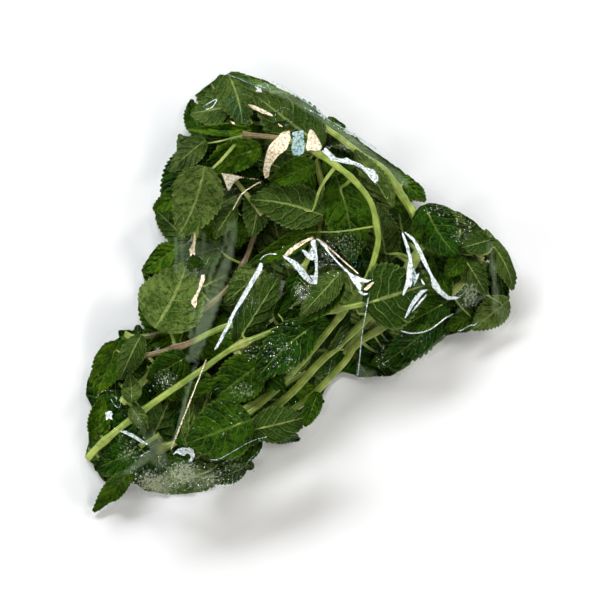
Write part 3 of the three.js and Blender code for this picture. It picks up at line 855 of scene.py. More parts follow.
def vein_group():
    tree = new_group("mint_veins", ["Net scale"], ["Side veins", "Midrib", "Net", "Swell"])
    scale = Wire(tree.nodes.new("NodeGroupInput").outputs[0])
    where, on_leaf = (add(tree, "UVMap", uv_map=name) for name in ("blade", "leaf"))
    across = add(tree, "SeparateXYZ", {0: on_leaf}, 0) - 0.5
    along = add(tree, "SeparateXYZ", {0: on_leaf}, 1)
    edge = maths("ABSOLUTE", across) * 2
    slant = along - edge * VEIN_SWEEP - edge * edge * VEIN_CURVE
    wander = add(tree, "TexNoise", {"Vector": where, "Scale": 2, "Detail": 1}) * 0.85
    wander = wander + maths("GREATER_THAN", across, 0) * VEIN_STAGGER
    from_vein = maths("PINGPONG", slant * VEIN_PAIRS + wander, 0.5)
    side = fit(from_vein, 0.015, 0.09, 1, 0) * fit(speckle(tree, 170, 2), 0.36, 0.6, 0.45)
    # The margin is painted lighter: a painted rim highlight, put out together with the side veins.
    side = most(side, fit(edge, 0.90, 1, 0, 0.55))
    midrib = fit(edge, 0.02, 0.075, 1, 0)
    inputs = {"Vector": where, "Scale": scale}
    cells = add(tree, "TexVoronoi", inputs, feature="DISTANCE_TO_EDGE")
    net = fit(cells, 0, 0.10, 1, 0)
    swell = fit(cells, 0, 0.45) * 0.3 + fit(from_vein, 0, 0.42) * 0.7
    connect(tree.nodes.new("NodeGroupOutput"), dict(enumerate((side, midrib, net, swell))))
    return tree


def grain_group():
    """Broad patches and fine grain together."""
    tree = new_group("leaf_grain", ["Broad share", "Fine share"], ["Patch"])
    given = tree.nodes.new("NodeGroupInput")
    broad, fine = (Wire(given.outputs[socket]) for socket in (0, 1))
    both = speckle(tree, 130, 4) * broad + speckle(tree, 700, 3, 0.7) * fine
    connect(tree.nodes.new("NodeGroupOutput"), {0: fit(both, 0.42, 0.57)})
    return tree


VEINS = vein_group()
GRAIN = grain_group()
print("nodes in the groups:", len(VEINS.nodes), len(GRAIN.nodes))


def leaf_marks(tree):
    """The side veins with the painted edge highlight, midrib, net and swelling of a blade, its
    grain and its tone.
    """
    patch = use(tree, GRAIN, {"Broad share": 0.5, "Fine share": 0.5})
    return [*use(tree, VEINS, {"Net scale": NET_SCALE}), *patch, number(tree, "tone")]


# %% Upper side, underside and stem
VEIN_RELIEF = 0.6
SWELL_RELIEF = 0.8
LEAF_RELIEF = 1.05
LEAF_SPECULAR = 0.05


def upper_finish():
    material, tree, shader = finish("leaf_upper")
    side, midrib, net, swell, patch, tone = leaf_marks(tree)
    # Tone 0 is near black, which the ground leaves in the gaps take as painted shade.
    deep = blend(tone, (0.0008, 0.008, 0.0001), (0.016, 0.058, 0.0008))
    light = blend(tone, (0.011, 0.056, 0.0005), (0.084, 0.172, 0.004))
    spots = fit(speckle(tree, 240, 2), 0.72, 0.78)
    ground = layered(
        blend(patch, deep, light),
        (net, 0.2, (0.075, 0.150, 0.007)),
        # Side veins, and the painted rim highlight along the margin.
        (side, 0.65, (0.120, 0.205, 0.016)),
        (midrib, 0.6, (0.125, 0.205, 0.030)),
        (spots, 0.7, (0.045, 0.040, 0.010)),
    )
    relief = bump(swell * SWELL_RELIEF - side * VEIN_RELIEF, LEAF_RELIEF)
    connect(shader, {"Base Color": ground, "Roughness": fit(patch, 0, 1, 0.50, 0.38),
                     "Specular IOR Level": LEAF_SPECULAR, "Normal": relief})
    return material


def under_finish():
    material, tree, shader = finish("leaf_under")
    side, midrib, net, swell, patch, tone = leaf_marks(tree)
    ground = layered(
        blend(patch, (0.026, 0.060, 0.005), (0.120, 0.180, 0.036)),
        # Tone 1 darkens an underside; the ground leaves in the gaps take it as painted shade.
        (tone, 0.8, (0.012, 0.040, 0.001)),
        (net, 0.24, (0.150, 0.215, 0.045)),
        # Side veins, and the painted rim highlight along the margin.
        (side, 0.75, (0.200, 0.275, 0.070)),
        (midrib, 0.8, (0.260, 0.330, 0.090)),
    )
    relief = bump(side * VEIN_RELIEF - swell * SWELL_RELIEF, LEAF_RELIEF)
    connect(shader, {"Base Color": ground, "Roughness": 0.62,
                     "Specular IOR Level": LEAF_SPECULAR, "Normal": relief})
    return material


def stem_finish():
    material, tree, shader = finish("stem")
    streak = fit(speckle(tree, 160, 3), 0.35, 0.7)
    fresh = blend(streak, (0.180, 0.270, 0.032), (0.400, 0.490, 0.095))
    aged = blend(streak, (0.120, 0.075, 0.040), (0.270, 0.210, 0.090))
    around = add(tree, "SeparateXYZ", {0: add(tree, "UVMap", uv_map="leaf")})
    ribs = maths("SINE", around * (16 * math.pi))
    ground = blend(fit(number(tree, "tone"), 0.1, 1), fresh, aged)
    connect(shader, {"Base Color": ground, "Roughness": 0.42,
                     "Normal": bump(ribs + streak, 0.1, 0.5)})
    return material


# %% [markdown]
# Clear film shows what lies under it, and itself only where it shines or is dull. So its finish is
# a clear one that lets a shader through only in places that are painted on the mesh: a glint is a
# painted highlight, a mirror with a torn edge, white with a teal fringe or warm gold in colour; fog
# is dull; haze is dull film, partly folds and partly a painted reflection; and the lip of a vent
# hole is painted dark, as painted shade.

# %% Clear film
FILM_MARKS = ("glint", "warm", "fog", "haze_and_glare", "lip_shade")


def film_finish():
    material, tree, shader = finish("clear_film")
    glint, warm, fog, haze_and_glare, lip_shade = (number(tree, name) for name in FILM_MARKS)
    # The glint is a painted highlight: a mirror with a torn edge, white with a teal fringe, or
    # mottled gold where it is painted warm.
    torn = speckle(tree, 420, 3, 0.7) * 0.7 - 0.35
    raw = torn * fit(glint, 0, 0.3) + glint
    glint = fit(raw, 0.32, 0.60)
    crumb = fit(speckle(tree, 900, 4, 0.75), 0.36, 0.54)
    core = fit(raw, 0.38, 0.74) * (crumb * 0.6 + 0.4) + maths("MINIMUM", warm, 0) * 0.5
    cool = blend(core, (0.10, 0.34, 0.36), (0.98, 1, 1))
    mottled = core * fit(speckle(tree, 600, 3, 0.7), 0.34, 0.50, 0.35)
    golden = blend(mottled, (0.60, 0.29, 0.04), (1, 0.94, 0.72))
    grains = fog * 0.22 + speckle(tree, 1100, 3, 0.8)
    misty = fit(grains, 0.60, 0.72) * fit(fog, 0, 0.2)
    dusty = blend(misty, (0.38, 0.50, 0.30), (0.47, 0.50, 0.33))
    # Fog is dull water; haze stands partly for folded film and partly for a painted reflection on
    # the film.
    matt = fit(most(misty, haze_and_glare, lip_shade), 0, 0.08) * (1 - glint)
    ground = blend(matt, blend(fit(warm, 0, 1), cool, golden), dusty)
    # The vent lip is painted dark: painted shade at the cut edge of each hole.
    ground = blend(fit(lip_shade, 0, 0.08), ground, (0.004, 0.014, 0.003))
    fine = speckle(tree, 1100, 3, 0.7) * (glint * 2.2)
    connect(shader, {
        "Base Color": ground,
        "Metallic": 1 - matt,
        "Roughness": matt * 0.8 + (glint * 0.24 + 0.05),
        "Normal": bump(speckle(tree, 130, 3) * 0.4 + fine, 0.6, 0.6),
    })
    streaks = fit(speckle(tree, 60, 5, 0.7), 0.35, 0.65, 0.5)
    sheen = facing(tree, 4) * 0.07 + 0.002
    # How much of the painted highlight stays in front of what lies under the film.
    crisp = glint * (core * 0.45 + 0.5)
    seen = most(sheen, crisp, misty * 0.55, haze_and_glare * streaks * 0.24, lip_shade * 0.85)
    show_through(tree, shader, seen)
    return material


# %% Water
def water_finish():
    material, tree, shader = finish("water")
    connect(shader, {"Base Color": (0.86, 0.92, 0.86, 1), "Metallic": 0.5, "Roughness": 0.1})
    show_through(tree, shader, facing(tree, 2) * 0.5 + 0.16)
    return material


# %% [markdown]
# ## Leaves that lie right on the bag's underside
#
# Wherever a gap between the leaves shows, the real heap shows more leaves, deep down in shade. So
# the gaps are looked for on a grid, and the emptiest place gets a leaf that grows out of the
# nearest hidden stem, until no wide gap is left. These leaves get the darkest tone, as painted
# shade.

# %% Finding the gaps
CELL = 0.75
HALF_SIDE = 96.0
GRID_SIDE = int(2 * HALF_SIDE / CELL) + 1
SILHOUETTE = [
    217, 71, 245, 74, 262, 79, 280, 89, 302, 99, 330, 115, 352, 131, 375, 149, 400, 166, 415, 179,
    428, 192, 424, 200, 440, 204, 462, 211, 475, 219, 492, 233, 503, 245, 512, 259, 517, 275,
    519, 290, 514, 306, 506, 317, 497, 329, 480, 333, 468, 337, 455, 331, 440, 344, 425, 355,
    410, 367, 392, 377, 359, 378, 345, 371, 333, 379, 324, 392, 319, 408, 311, 420, 299, 439,
    285, 442, 261, 446, 254, 462, 247, 476, 239, 483, 225, 486, 205, 489, 190, 488, 165, 498,
    142, 493, 125, 479, 110, 499, 89, 516, 85, 508, 101, 488, 93, 470, 82, 458, 86, 445, 85, 425,
    89, 410, 82, 396, 85, 380, 99, 350, 117, 338, 115, 331, 140, 331, 151, 314, 142, 312, 139, 295,
    142, 280, 140, 270, 151, 250, 168, 240, 163, 214, 151, 210, 159, 185, 171, 148, 186, 130,
    184, 118, 193, 92, 215, 76,
]
GROUND_MOST = 90
GAP_WINDOW = 7
GAP_LEAST = 14
GROUND_LENGTH = (24.0, 36.0)
GROUND_HEIGHT = (0.75, 1.7)
GROUND_WIDTH_SHARE = (0.55, 0.68)


def grid_place(points):
    return np.clip(np.rint((points + HALF_SIDE) / CELL).astype(int), 0, GRID_SIDE - 1)


def cover(grid, spec):
    """Marks the grid cells that a blade covers."""
    across, share = np.meshgrid(np.linspace(-1, 1, 11), np.linspace(0, 1, 25))
    net = blade_points(spec, across.ravel(), share.ravel(), (0.5, 0.5, 0.5, 0.5))
    net = net.reshape(*across.shape, 3)
    finer = np.concatenate([net, (net[1:] + net[:-1]) / 2])
    finer = np.concatenate([finer, (finer[:, 1:] + finer[:, :-1]) / 2], axis=1)
    column, row = grid_place(finer[..., :2].reshape(-1, 2)).T
    grid[row, column] = True


def emptiest(gaps):
    """The grid cell with the most uncovered cells round it, and their number."""
    summed = np.pad(gaps.astype(int), GAP_WINDOW // 2 + 1).cumsum(axis=0).cumsum(axis=1)
    wide = GAP_WINDOW
    counts = summed[wide:, wide:] - summed[:-wide, wide:]
    counts = counts - summed[wide:, :-wide] + summed[:-wide, :-wide]
    row, column = np.unravel_index(np.argmax(counts), counts.shape)
    row, column = min(row, GRID_SIDE - 1), min(column, GRID_SIDE - 1)
    return np.array([column, row]) * CELL - HALF_SIDE, counts.max()


marks = np.arange(GRID_SIDE) * CELL - HALF_SIDE
every = np.stack(np.meshgrid(marks, marks), axis=-1).reshape(-1, 2)
LEAF_EDGE = traced(SILHOUETTE)
wanted = is_inside(every, LEAF_EDGE) & is_inside(every, inset(ROOM, 1.0))
bare = wanted.reshape(GRID_SIDE, GRID_SIDE)
covered = np.zeros_like(bare)
for sprig in SPRIGS:
    for spec in leaves_of(sprig):
        cover(covered, spec)
print("bare share before:", (bare & ~covered).sum() / bare.sum())

# %% Filling them
GROUND = np.random.default_rng(11)
for sprig in UNDER_SPRIGS:
    sprig["ground"] = []
for _ in range(GROUND_MOST):
    centre, empty = emptiest(bare & ~covered)
    if empty < GAP_LEAST:
        break
    roots = [sprig["route"].spot(sprig["route"].nearest(centre))[0] for sprig in UNDER_SPRIGS]
    choice = int(np.argmin([size_of(root - centre) for root in roots]))
    along = centre - roots[choice]
    angle = math.atan2(along[1], along[0]) + GROUND.uniform(-0.5, 0.5)
    heading = np.array([math.cos(angle), math.sin(angle)])
    length = GROUND.uniform(*GROUND_LENGTH)
    ends = [centre - heading * length * 0.5, centre + heading * length * 0.5]
    root, tip = (CENTRE_PIXEL + point * (PIXELS_PER_MM, -PIXELS_PER_MM) for point in ends)
    shows = UPPER if GROUND.random() < 0.75 else UNDER
    wide, bend = length * GROUND.uniform(*GROUND_WIDTH_SHARE), GROUND.uniform(-0.06, 0.06)
    # Ground leaves take the darkest tone for their side: painted shade deep in the gaps.
    spec = leaf(*root, *tip, wide, shows, bend, 0.0 if shows == UPPER else 1.0)
    plan = coarse_plan(spec)
    tops = GROUND.uniform(*GROUND_HEIGHT) + GROUND.uniform(0, 0.5, plan.shape[:2])
    spec.update(plan=plan, tops=tops, kept=True, edge=LEAF_EDGE)
    UNDER_SPRIGS[choice]["ground"].append(spec)
    cover(covered, spec)
for sprig in UNDER_SPRIGS:
    sprig["under"] = sprig["ground"] + sprig["under"]
print("ground leaves:", sum(len(sprig["ground"]) for sprig in UNDER_SPRIGS))
print("bare share after:", (bare & ~covered).sum() / bare.sum())

# %% [markdown]
# ## A sprig
#
# All leaves of a sprig are joined to one sheet, which then gets its thickness in one go. Its back
# faces take the next material slot, so the slots run upper, under, upper: a leaf that shows its
# upper side gets a pale back, and a turned one gets a dark back. The stem and the leaf stalks join
# after that, because they are solid already.

# %% Stalks from the blades to the stem
STALK_THICK = 0.62
STALK_RADII = np.array([1.25, 1.0, 0.9, 0.55, 0.2])
STALK_TONES = (0.25, 0.1, 0.0)
STALK_REACH = 0.3
NODE_SWELL = 0.3
NODE_REACH = 2.2


def stalk_of(sprig, spec):
    """A leaf stalk: out of the stem, over what lies between, and on into the midrib."""
    root = spec["plan"][1, 1]
    share = sprig["route"].nearest(root)
    start = sprig["route"].spot(share)[0]
    start_rise = evenly(sprig["rises"], share)
    middle = (root + start) / 2
    route = Route([root, middle, start])
    over = ring_heights(sprig["solid"], route, [0.5], [PETIOLE_RADIUS], 3)[0]
    rib = spec["points"][:, spec["points"].shape[1] // 2]
    row = max(2, round(STALK_REACH * (len(rib) - 1)))
    inner = rib[round(row / 2)]
    if np.isnan(over):
        over = (start_rise + inner[2]) / 2
    line = np.array([[*start, start_rise], [*middle, over], inner, rib[row]])
    line[2:, 2] -= BLADE_DEPTH / 2
    radii = STALK_THICK * np.clip(spec["wide"] / GROWN_WIDTH, 0.55, 1.15) * STALK_RADII
    runs = np.concatenate([[0], np.cumsum(size_of(np.diff(line, axis=0)))])
    heights = np.interp(np.linspace(0, 1, 13), runs / runs[-1], line[:, 2])
    return make_rod(STALK_MASTER, Route(line[:, :2]), heights, radii, STALK_TONES), share


def stem_of(sprig, nodes):
    """The stem with a swelling at each pair of stalks."""
    shares = np.linspace(0, 1, STEM_RINGS[1] + 1)
    radii = sprig["radius"] * mix(1, STEM_TAPER, shares)
    fresh, aged_from = STEM_TONES.get(sprig["name"], 0.1), AGED_FROM.get(sprig["name"], 1.1)
    tone = fresh + 0.8 * smooth_step((shares - aged_from) * 12)
    for node in nodes:
        near = np.exp(-(((shares - node) * sprig["route"].length / NODE_REACH) ** 2))
        radii = radii * (1 + NODE_SWELL * near)
        tone = tone + 0.2 * near
    return make_rod(STEM_MASTER, sprig["route"], sprig["rises"], radii, tone)


# %% Joining and thickening
def join(pieces, name):
    deselect()
    for piece in pieces:
        piece.select_set(True)
    bpy.context.view_layer.objects.active = pieces[0]
    if len(pieces) > 1:
        bpy.ops.object.join()
    pieces[0].name = pieces[0].data.name = name
    return pieces[0]


def thicken(sheet, depth):
    """Gives a selected sheet its thickness, with the next material slot on its back."""
    wall = sheet.modifiers.new("depth", "SOLIDIFY")
    wall.thickness, wall.offset, wall.material_offset = depth * MM, -1, 1
    bpy.ops.object.modifier_apply(modifier=wall.name)


def make_sprig(sprig, random):
    grid = HIDDEN_GRID if "ground" in sprig else SHOWN_GRID
    kept = leaves_of(sprig)
    sheet = join([make_leaf(spec, grid, random) for spec in kept], sprig["name"] + "_leaves")
    thicken(sheet, BLADE_DEPTH)
    stalks, nodes = zip(*[stalk_of(sprig, spec) for spec in kept])
    piece = join([sheet, stem_of(sprig, nodes), *stalks], sprig["name"] + "_grown")
    bpy.ops.object.shade_smooth_by_angle(angle=math.radians(50))
    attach(piece, "root")
    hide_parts(sprig["name"])
    return piece


# %% Growing all the sprigs
STEM_TONES = {"sprig_left_cut": 0.05, "sprig_upper_left": 0.5, "sprig_right": 0.2}
AGED_FROM = {"sprig_left_cut": 0.06, "sprig_arch": 0.87, "sprig_left_low": 0.6}
RANDOM = np.random.default_rng(7)
upper, under, stem_skin = upper_finish(), under_finish(), stem_finish()
for master in LEAF_MASTERS.values():
    for skin in (upper, under, upper):
        master.data.materials.append(skin)
for master in (STEM_MASTER, STALK_MASTER):
    master.data.materials.append(stem_skin)
for sprig in SPRIGS:
    piece = make_sprig(sprig, RANDOM)
    print(piece.name, "faces:", len(piece.data.polygons))
for master in [*LEAF_MASTERS.values(), STEM_MASTER, STALK_MASTER]:
    bpy.data.objects.remove(master)


# %% [markdown]
# ## The film bag
#
# Thin film that is drawn round a heap touches only its high places and spans the hollows between
# them like a drum skin. So its height is found in two steps: the heap's top is sampled on a fine
# grid, then every place is raised to the mean of its neighbours, again and again, until the sheet
# is taut.

# %% The heap's top on a grid
FILM_GAP = 0.35
TAUT_TIMES = 500

tops = list(RODS)
for net in (spec["points"] for sprig in SPRIGS for spec in leaves_of(sprig)):
    finer = [net, (net[1:] + net[:-1]) / 2, (net[:, 1:] + net[:, :-1]) / 2]
    tops.extend(part.reshape(-1, 3) for part in finer)
heap = np.zeros((GRID_SIDE, GRID_SIDE))
for points in tops:
    column, row = grid_place(points[:, :2]).T
    np.maximum.at(heap, (row, column), points[:, 2])
heap += FILM_GAP * (heap > 0)
taut = heap
for _ in range(TAUT_TIMES):
    padded = np.pad(taut, 1, mode="edge")
    mean = (padded[2:, 1:-1] + padded[:-2, 1:-1] + padded[1:-1, 2:] + padded[1:-1, :-2]) / 4
    taut = np.maximum(heap, mean)
print("film top:", taut.max().round(1), "mm")


def film_height(points):
    """The taut film's height at places in the plan, read smoothly between the grid's points."""
    at = np.clip((points + HALF_SIDE) / CELL, 0, GRID_SIDE - 1.001)
    column, row = np.floor(at).astype(int).T
    x, y = (at - np.floor(at)).T
    low = taut[row, column] * (1 - x) + taut[row, column + 1] * x
    high = taut[row + 1, column] * (1 - x) + taut[row + 1, column + 1] * x
    return low * (1 - y) + high * y


# %% [markdown]
# The film's creases are what the eye sees first. Each is a small ridge along a line: where its
# steep side faces a light panel, the film flashes white. On top of that each crease carries a
# painted highlight. A row gives the ridge's line in the photograph, its height, the widths of its
# left and right sides, how strong its painted highlight is, and how warm that painted white is. A
# patch is a painted highlight with an outline of its own and a warmth.

# %% Creases and painted flashes, as lines in the photograph
CREASES = [
    ([258.7, 263, 261, 259, 265, 255.4, 272, 254, 281, 255], 0.45, 0.5, 0.5, 0.9),
    ([259.7, 264, 263.4, 262, 267, 267.6], 0.3, 0.45, 0.45, 0.7),
    ([317, 238, 330, 249, 345, 263, 360, 276], 0.5, 0.55, 0.55, 0.95, 1),
    ([208, 356, 201.5, 373, 187, 410, 171, 451], 0.5, 0.55, 0.6, 0.9, 0.9),
    ([368, 294, 362, 331, 360, 356, 358, 379], 0.4, 0.5, 0.5, 0.75),
    ([397, 329, 405, 332, 413, 333, 428, 330, 445, 318, 455, 313], 0.5, 0.5, 0.5, 0.95),
    ([455, 332, 463, 330, 470, 326, 476, 325, 481, 320], 0.4, 0.45, 0.45, 0.8),
    ([325, 148, 338, 162, 357, 165, 373, 172, 377, 188], 0.6, 0.7, 0.9, 0.2),
    ([264, 181, 250, 189, 241, 197, 232, 213], 0.5, 0.5, 0.6, 0.9, 0.8),
    ([264, 186, 254, 210, 245, 235], 0.3, 0.35, 0.35, 0.55),
    ([229, 177, 246, 179, 264, 181], 0.3, 0.4, 0.4, 0.7, 0.7),
    ([200, 109, 208, 104, 217, 100, 212, 108, 203, 110], 0.4, 0.45, 0.45, 0.8),
    ([246, 104, 257, 110, 272, 118], 0.5, 0.6, 0.7, 0.2, 0.8),
    ([216, 73, 236, 78, 249, 84, 270, 90], 0.4, 0.5, 0.5, 0.6),
    ([249, 84, 258, 88, 266, 84, 272, 95], 0.4, 0.5, 0.5, 0.6),
    ([358, 364, 358, 378, 370, 378], 0.3, 0.4, 0.4, 0.7),
    ([203, 267, 207, 262, 211, 252], 0.3, 0.4, 0.4, 0.7, 0.8),
    ([183, 307, 187, 312, 191, 312, 195, 309], 0.3, 0.35, 0.35, 0.75),
    ([93, 402, 97, 395, 104, 391, 119.5, 392], 0.3, 0.35, 0.35, 0.7, 0.5),
    ([126.5, 457.5, 139.5, 457, 145, 453, 153.5, 450], 0.3, 0.4, 0.4, 0.8),
    ([207, 456, 213, 458, 220.5, 457, 236.5, 448, 253, 439, 271, 434.5], 0.3, 0.4, 0.45, 0.7),
    ([262, 448, 253, 455, 244, 467], 0.3, 0.4, 0.4, 0.65),
    ([112, 352, 98, 372, 88, 395], 0.3, 0.35, 0.35, 0.45),
    ([109, 396, 112, 403, 118, 408, 121, 401, 119, 394], 0.3, 0.35, 0.35, 0.9),
    ([112, 394, 116, 399, 115, 404], 0.3, 0.4, 0.4, 0.9),
    ([346, 330, 338, 346, 332, 358, 327, 385], 0.3, 0.4, 0.4, 0.6),
    ([270, 80, 290, 92, 310, 105, 330, 121], 0.4, 0.6, 0.8, 0.6),
    ([300, 106, 340, 126, 380, 150], 0.5, 0.7, 0.9, 0.55),
    ([281, 251, 283, 247, 288, 245], 0.3, 0.4, 0.4, 0.8, 0.9),
    ([384, 168, 400, 186, 412, 206], 0.4, 0.5, 0.5, 0.4),
]
# Outlines of painted highlights, each with its warmth; a negative warmth turns the painted white
# teal.
PATCHES = [
    ([290, 132, 291, 141, 287, 151, 278, 158, 271, 167, 269, 178, 265, 180, 263, 171, 266, 157,
      269, 148, 276, 140, 282, 134], 0.9),
    ([292, 134, 298, 132, 304, 131, 304, 140, 305, 148, 304, 155, 299, 158, 293, 157, 291, 150,
      293, 142], -1),
    ([308, 134, 310, 130, 314, 132, 316, 136, 319, 141, 322, 148, 320, 152, 317, 153, 310, 152,
      307, 153, 306, 150, 307, 141], 0.8),
    ([322, 153, 325, 148, 330, 153, 336, 159, 342, 160, 346, 158, 353, 162, 360, 164, 365, 168,
      374, 170, 378, 177, 378, 182, 375, 183, 378, 189, 373, 183, 367, 176, 362, 170, 353, 166,
      344, 165, 336, 163, 330, 162, 327, 158], 0),
    ([247, 105, 254, 107, 262, 110, 270, 114, 275, 118, 268, 117, 260, 114, 252, 110], 0.9),
    ([195, 233, 196, 234, 196, 242, 195, 249, 195, 256, 190, 256, 189, 250, 192, 245,
      193, 240], 0.9),
    ([201, 275, 205, 274, 205, 279, 202, 287, 199, 293, 197, 299, 197, 305, 195, 309, 193, 306,
      191, 303, 191, 300, 195, 295, 198, 289], 0.8),
    ([222, 174, 234, 176, 245, 178, 236, 182, 229, 193], 0.7),
    ([214, 350, 221, 336, 226, 326, 232, 313, 239, 300, 247, 286, 255, 272, 260, 262, 263, 264,
      262, 271, 255, 282, 249, 292, 243, 302, 236, 312, 231, 324, 224, 338, 216, 350], 0),
    ([104, 413, 109, 411, 113, 414, 111, 417, 113, 421, 108, 419, 105, 422], 0),
    ([117, 431, 126, 431, 133, 434, 142, 440, 153, 447, 141, 443, 131, 437, 124, 434], 0),
    ([172, 455, 178, 448, 184, 446, 190, 446, 195, 448, 196, 454, 193, 460, 189, 462, 190, 458,
      192, 456, 191, 453, 188, 452, 185, 455, 182, 454, 178, 452], 0),
    ([409, 263, 412, 264, 411, 284, 408, 290], 0),
    ([414, 276, 419, 272, 416, 281, 412, 288], 0),
    ([281, 254, 288, 257, 296, 261, 303, 268, 308, 275, 312, 281, 317, 279, 317, 285, 310, 284,
      303, 279, 297, 271, 291, 264, 285, 259], 0),
    ([284, 255, 290, 248, 298, 243, 306, 239, 313, 236, 314, 239, 306, 243, 298, 248, 291, 254,
      286, 258], 1),
    ([310, 242, 315, 239, 317, 250, 318, 262, 318, 275, 317, 283, 313, 281, 309, 275, 314, 276,
      315, 268, 314, 260, 313, 250], 0),
    ([301, 249, 306, 251, 309, 254, 311, 247, 313, 250, 314, 261, 309, 260, 304, 255], 0),
    ([313, 237, 320, 240, 325, 245, 332, 255, 339, 263, 347, 270, 352, 276, 348, 275, 340, 267,
      331, 257, 324, 248, 318, 241], 0),
    ([346, 271, 353, 275, 357, 279, 361, 286, 360, 292, 356, 288, 351, 281], 0),
    ([353, 274, 360, 278, 367, 280, 373, 279, 366, 283, 360, 283], 0.1),
    ([357, 289, 363, 293, 370, 293, 363, 296, 358, 293], 0.1),
    ([362, 290, 367, 285, 374, 281, 371, 286, 366, 291], 1),
    ([400, 231, 404, 236, 408, 247, 411, 259, 412, 270, 410, 283, 405, 291, 401, 299, 402, 290,
      405, 280, 406, 268, 408, 259, 405, 249, 402, 239], 0),
    ([428, 289, 420, 290, 412, 299, 406, 311, 402, 321, 407, 315, 413, 305, 421, 295], 0),
    ([428, 291, 424, 298, 417, 306, 408, 316, 413, 308, 420, 299], 0),
    ([419, 277, 424, 284, 427, 287, 421, 284], 0),
    ([411, 263, 413, 268, 417, 279, 413, 284, 411, 276], -0.8),
    ([229, 121, 234, 123, 238, 127, 233, 126], 0.9),
    ([276, 122, 281, 125, 286, 129, 280, 128], 0.9),
    ([401, 230, 407, 234, 413, 238, 420, 249, 426, 263, 431, 274, 437, 283, 441, 290, 448, 296,
      458, 297, 458, 299, 447, 300, 439, 295, 431, 287, 429, 276, 423, 266, 417, 253, 412, 242,
      406, 236], 0),
]


def crease(line, height, before, after, glint, warm=0):
    """A ridge: its line, height, the widths of its left and right sides, its painted glint."""
    sides = (before, after)
    return dict(route=Route(traced(line)), height=height, sides=sides, glint=glint, warm=warm)


CREASES = [crease(*row) for row in CREASES]
PATCHES = [(traced(line), tint) for line, tint in PATCHES]
print("creases:", len(CREASES), "patches:", len(PATCHES))


# %% The rise of a ridge
def beside(route, points):
    """For places in the plan: the signed distance to a line and the share of its length there."""
    shares = np.linspace(0, 1, max(8, int(route.length / 0.5)))
    line, ahead = route.at(shares), route.heading(shares)
    gaps = points[:, None] - line[None]
    nearest = np.argmin((gaps**2).sum(axis=2), axis=1)
    gap = gaps[np.arange(len(points)), nearest]
    side = np.sign((gap * left(ahead[nearest])).sum(axis=1))
    return size_of(gap) * np.where(side == 0, 1, side), shares[nearest]


def near_to(points, corners, reach):
    """Which points lie in the box round some corners, or within a reach of it."""
    over, below = points > corners.min(axis=0) - reach, points < corners.max(axis=0) + reach
    return (over & below).all(axis=1)


def ridge(crease_line, points, wider=0):
    """A ridge's rise and its painted glint, or a band's haze, at places in the plan, faded out at
    both ends.
    """
    route, (before, after) = crease_line["route"], np.add(crease_line["sides"], wider)
    near = near_to(points, route.points, max(before, after) * 2 + 1)
    rise, white = np.zeros((2, len(points)))
    if near.any():
        distance, share = beside(route, points[near])
        wide = np.where(distance > 0, before, after)
        fade = smooth_step(np.minimum(share, 1 - share) * route.length / 2.5 + 0.15)
        slope = np.clip(1 - np.abs(distance) / wide, 0, 1)
        rise[near] = crease_line["height"] * slope * fade
        white[near] = crease_line["glint"] * np.clip(slope * 1.6, 0, 1) * fade
    return rise, white


# %% [markdown]
# The sheet starts as a circle whose points are carried to the bag's outline, with two smaller
# circles inside for the vent holes. It is filled, then cut like graph paper by bisecting it along
# both axes, which leaves the outline exact. Only the strips beside the creases are subdivided
# further, because only they need sharp slopes. The rim is extruded down and filled for the flat
# underside.

# %% The flat sheet with its vent holes
OUTLINE_POINTS = 640
PAPER = 1.25
CREASE_CUTS = 3
VENT_SIDES = 40


def loop_of(points):
    """A closed loop of edges through places in the plan."""
    deselect()
    bpy.ops.mesh.primitive_circle_add(vertices=len(points), radius=1, fill_type="NOTHING")
    loop = bpy.context.object
    set_points(loop.data, np.column_stack([points, np.zeros(len(points))]))
    return loop


turns = np.linspace(0, 2 * np.pi, VENT_SIDES, endpoint=False)
vent_ring = VENT_RADIUS * np.column_stack([np.cos(turns), np.sin(turns)])
rim = closed_spline(OUTLINE, OUTLINE_POINTS)
film = join([loop_of(line) for line in (rim, *(vent + vent_ring for vent in VENTS))], "film")
mesh = film.data
edit()
bpy.ops.mesh.select_all(action="SELECT")
bpy.ops.mesh.fill(use_beauty=False)
bpy.ops.mesh.dissolve_limited(angle_limit=0.02, use_dissolve_boundaries=False)
for axis in np.eye(3)[:2]:
    for mark in np.arange(-HALF_SIDE, HALF_SIDE, PAPER) * MM:
        bpy.ops.mesh.select_all(action="SELECT")
        bpy.ops.mesh.bisect(plane_co=axis * mark, plane_no=axis)
edit(False)
print("film sheet faces:", len(mesh.polygons))


# %% Finer faces along the creases
def close_up(threshold):
    """Merges what touches and turns all faces of the film outwards, as triangles."""
    bpy.ops.mesh.select_all(action="SELECT")
    bpy.ops.mesh.remove_doubles(threshold=threshold)
    bpy.ops.mesh.quads_convert_to_tris()
    bpy.ops.mesh.normals_make_consistent(inside=False)
    edit(False)


def from_vent(points, vent):
    """The distance of places in the plan from a vent hole's edge."""
    return size_of(points - vent) - VENT_RADIUS


middles = read(mesh.polygons, "center", 3)[:, :2] / MM
creased = np.zeros(len(middles), bool)
for line in CREASES:
    creased |= ridge(line, middles, PAPER)[0] > 0
for patch, _ in PATCHES:
    creased |= is_inside(middles, inset(patch, -1.0)) | is_inside(middles, patch)
for vent in VENTS:
    creased |= from_vent(middles, vent) < 2
edit()
bpy.ops.mesh.select_mode(type="FACE")
edit(False)
mesh.polygons.foreach_set("select", creased)
edit()
bpy.ops.mesh.subdivide(number_cuts=CREASE_CUTS)
close_up(0.00002)
print("creased film faces:", len(mesh.polygons))
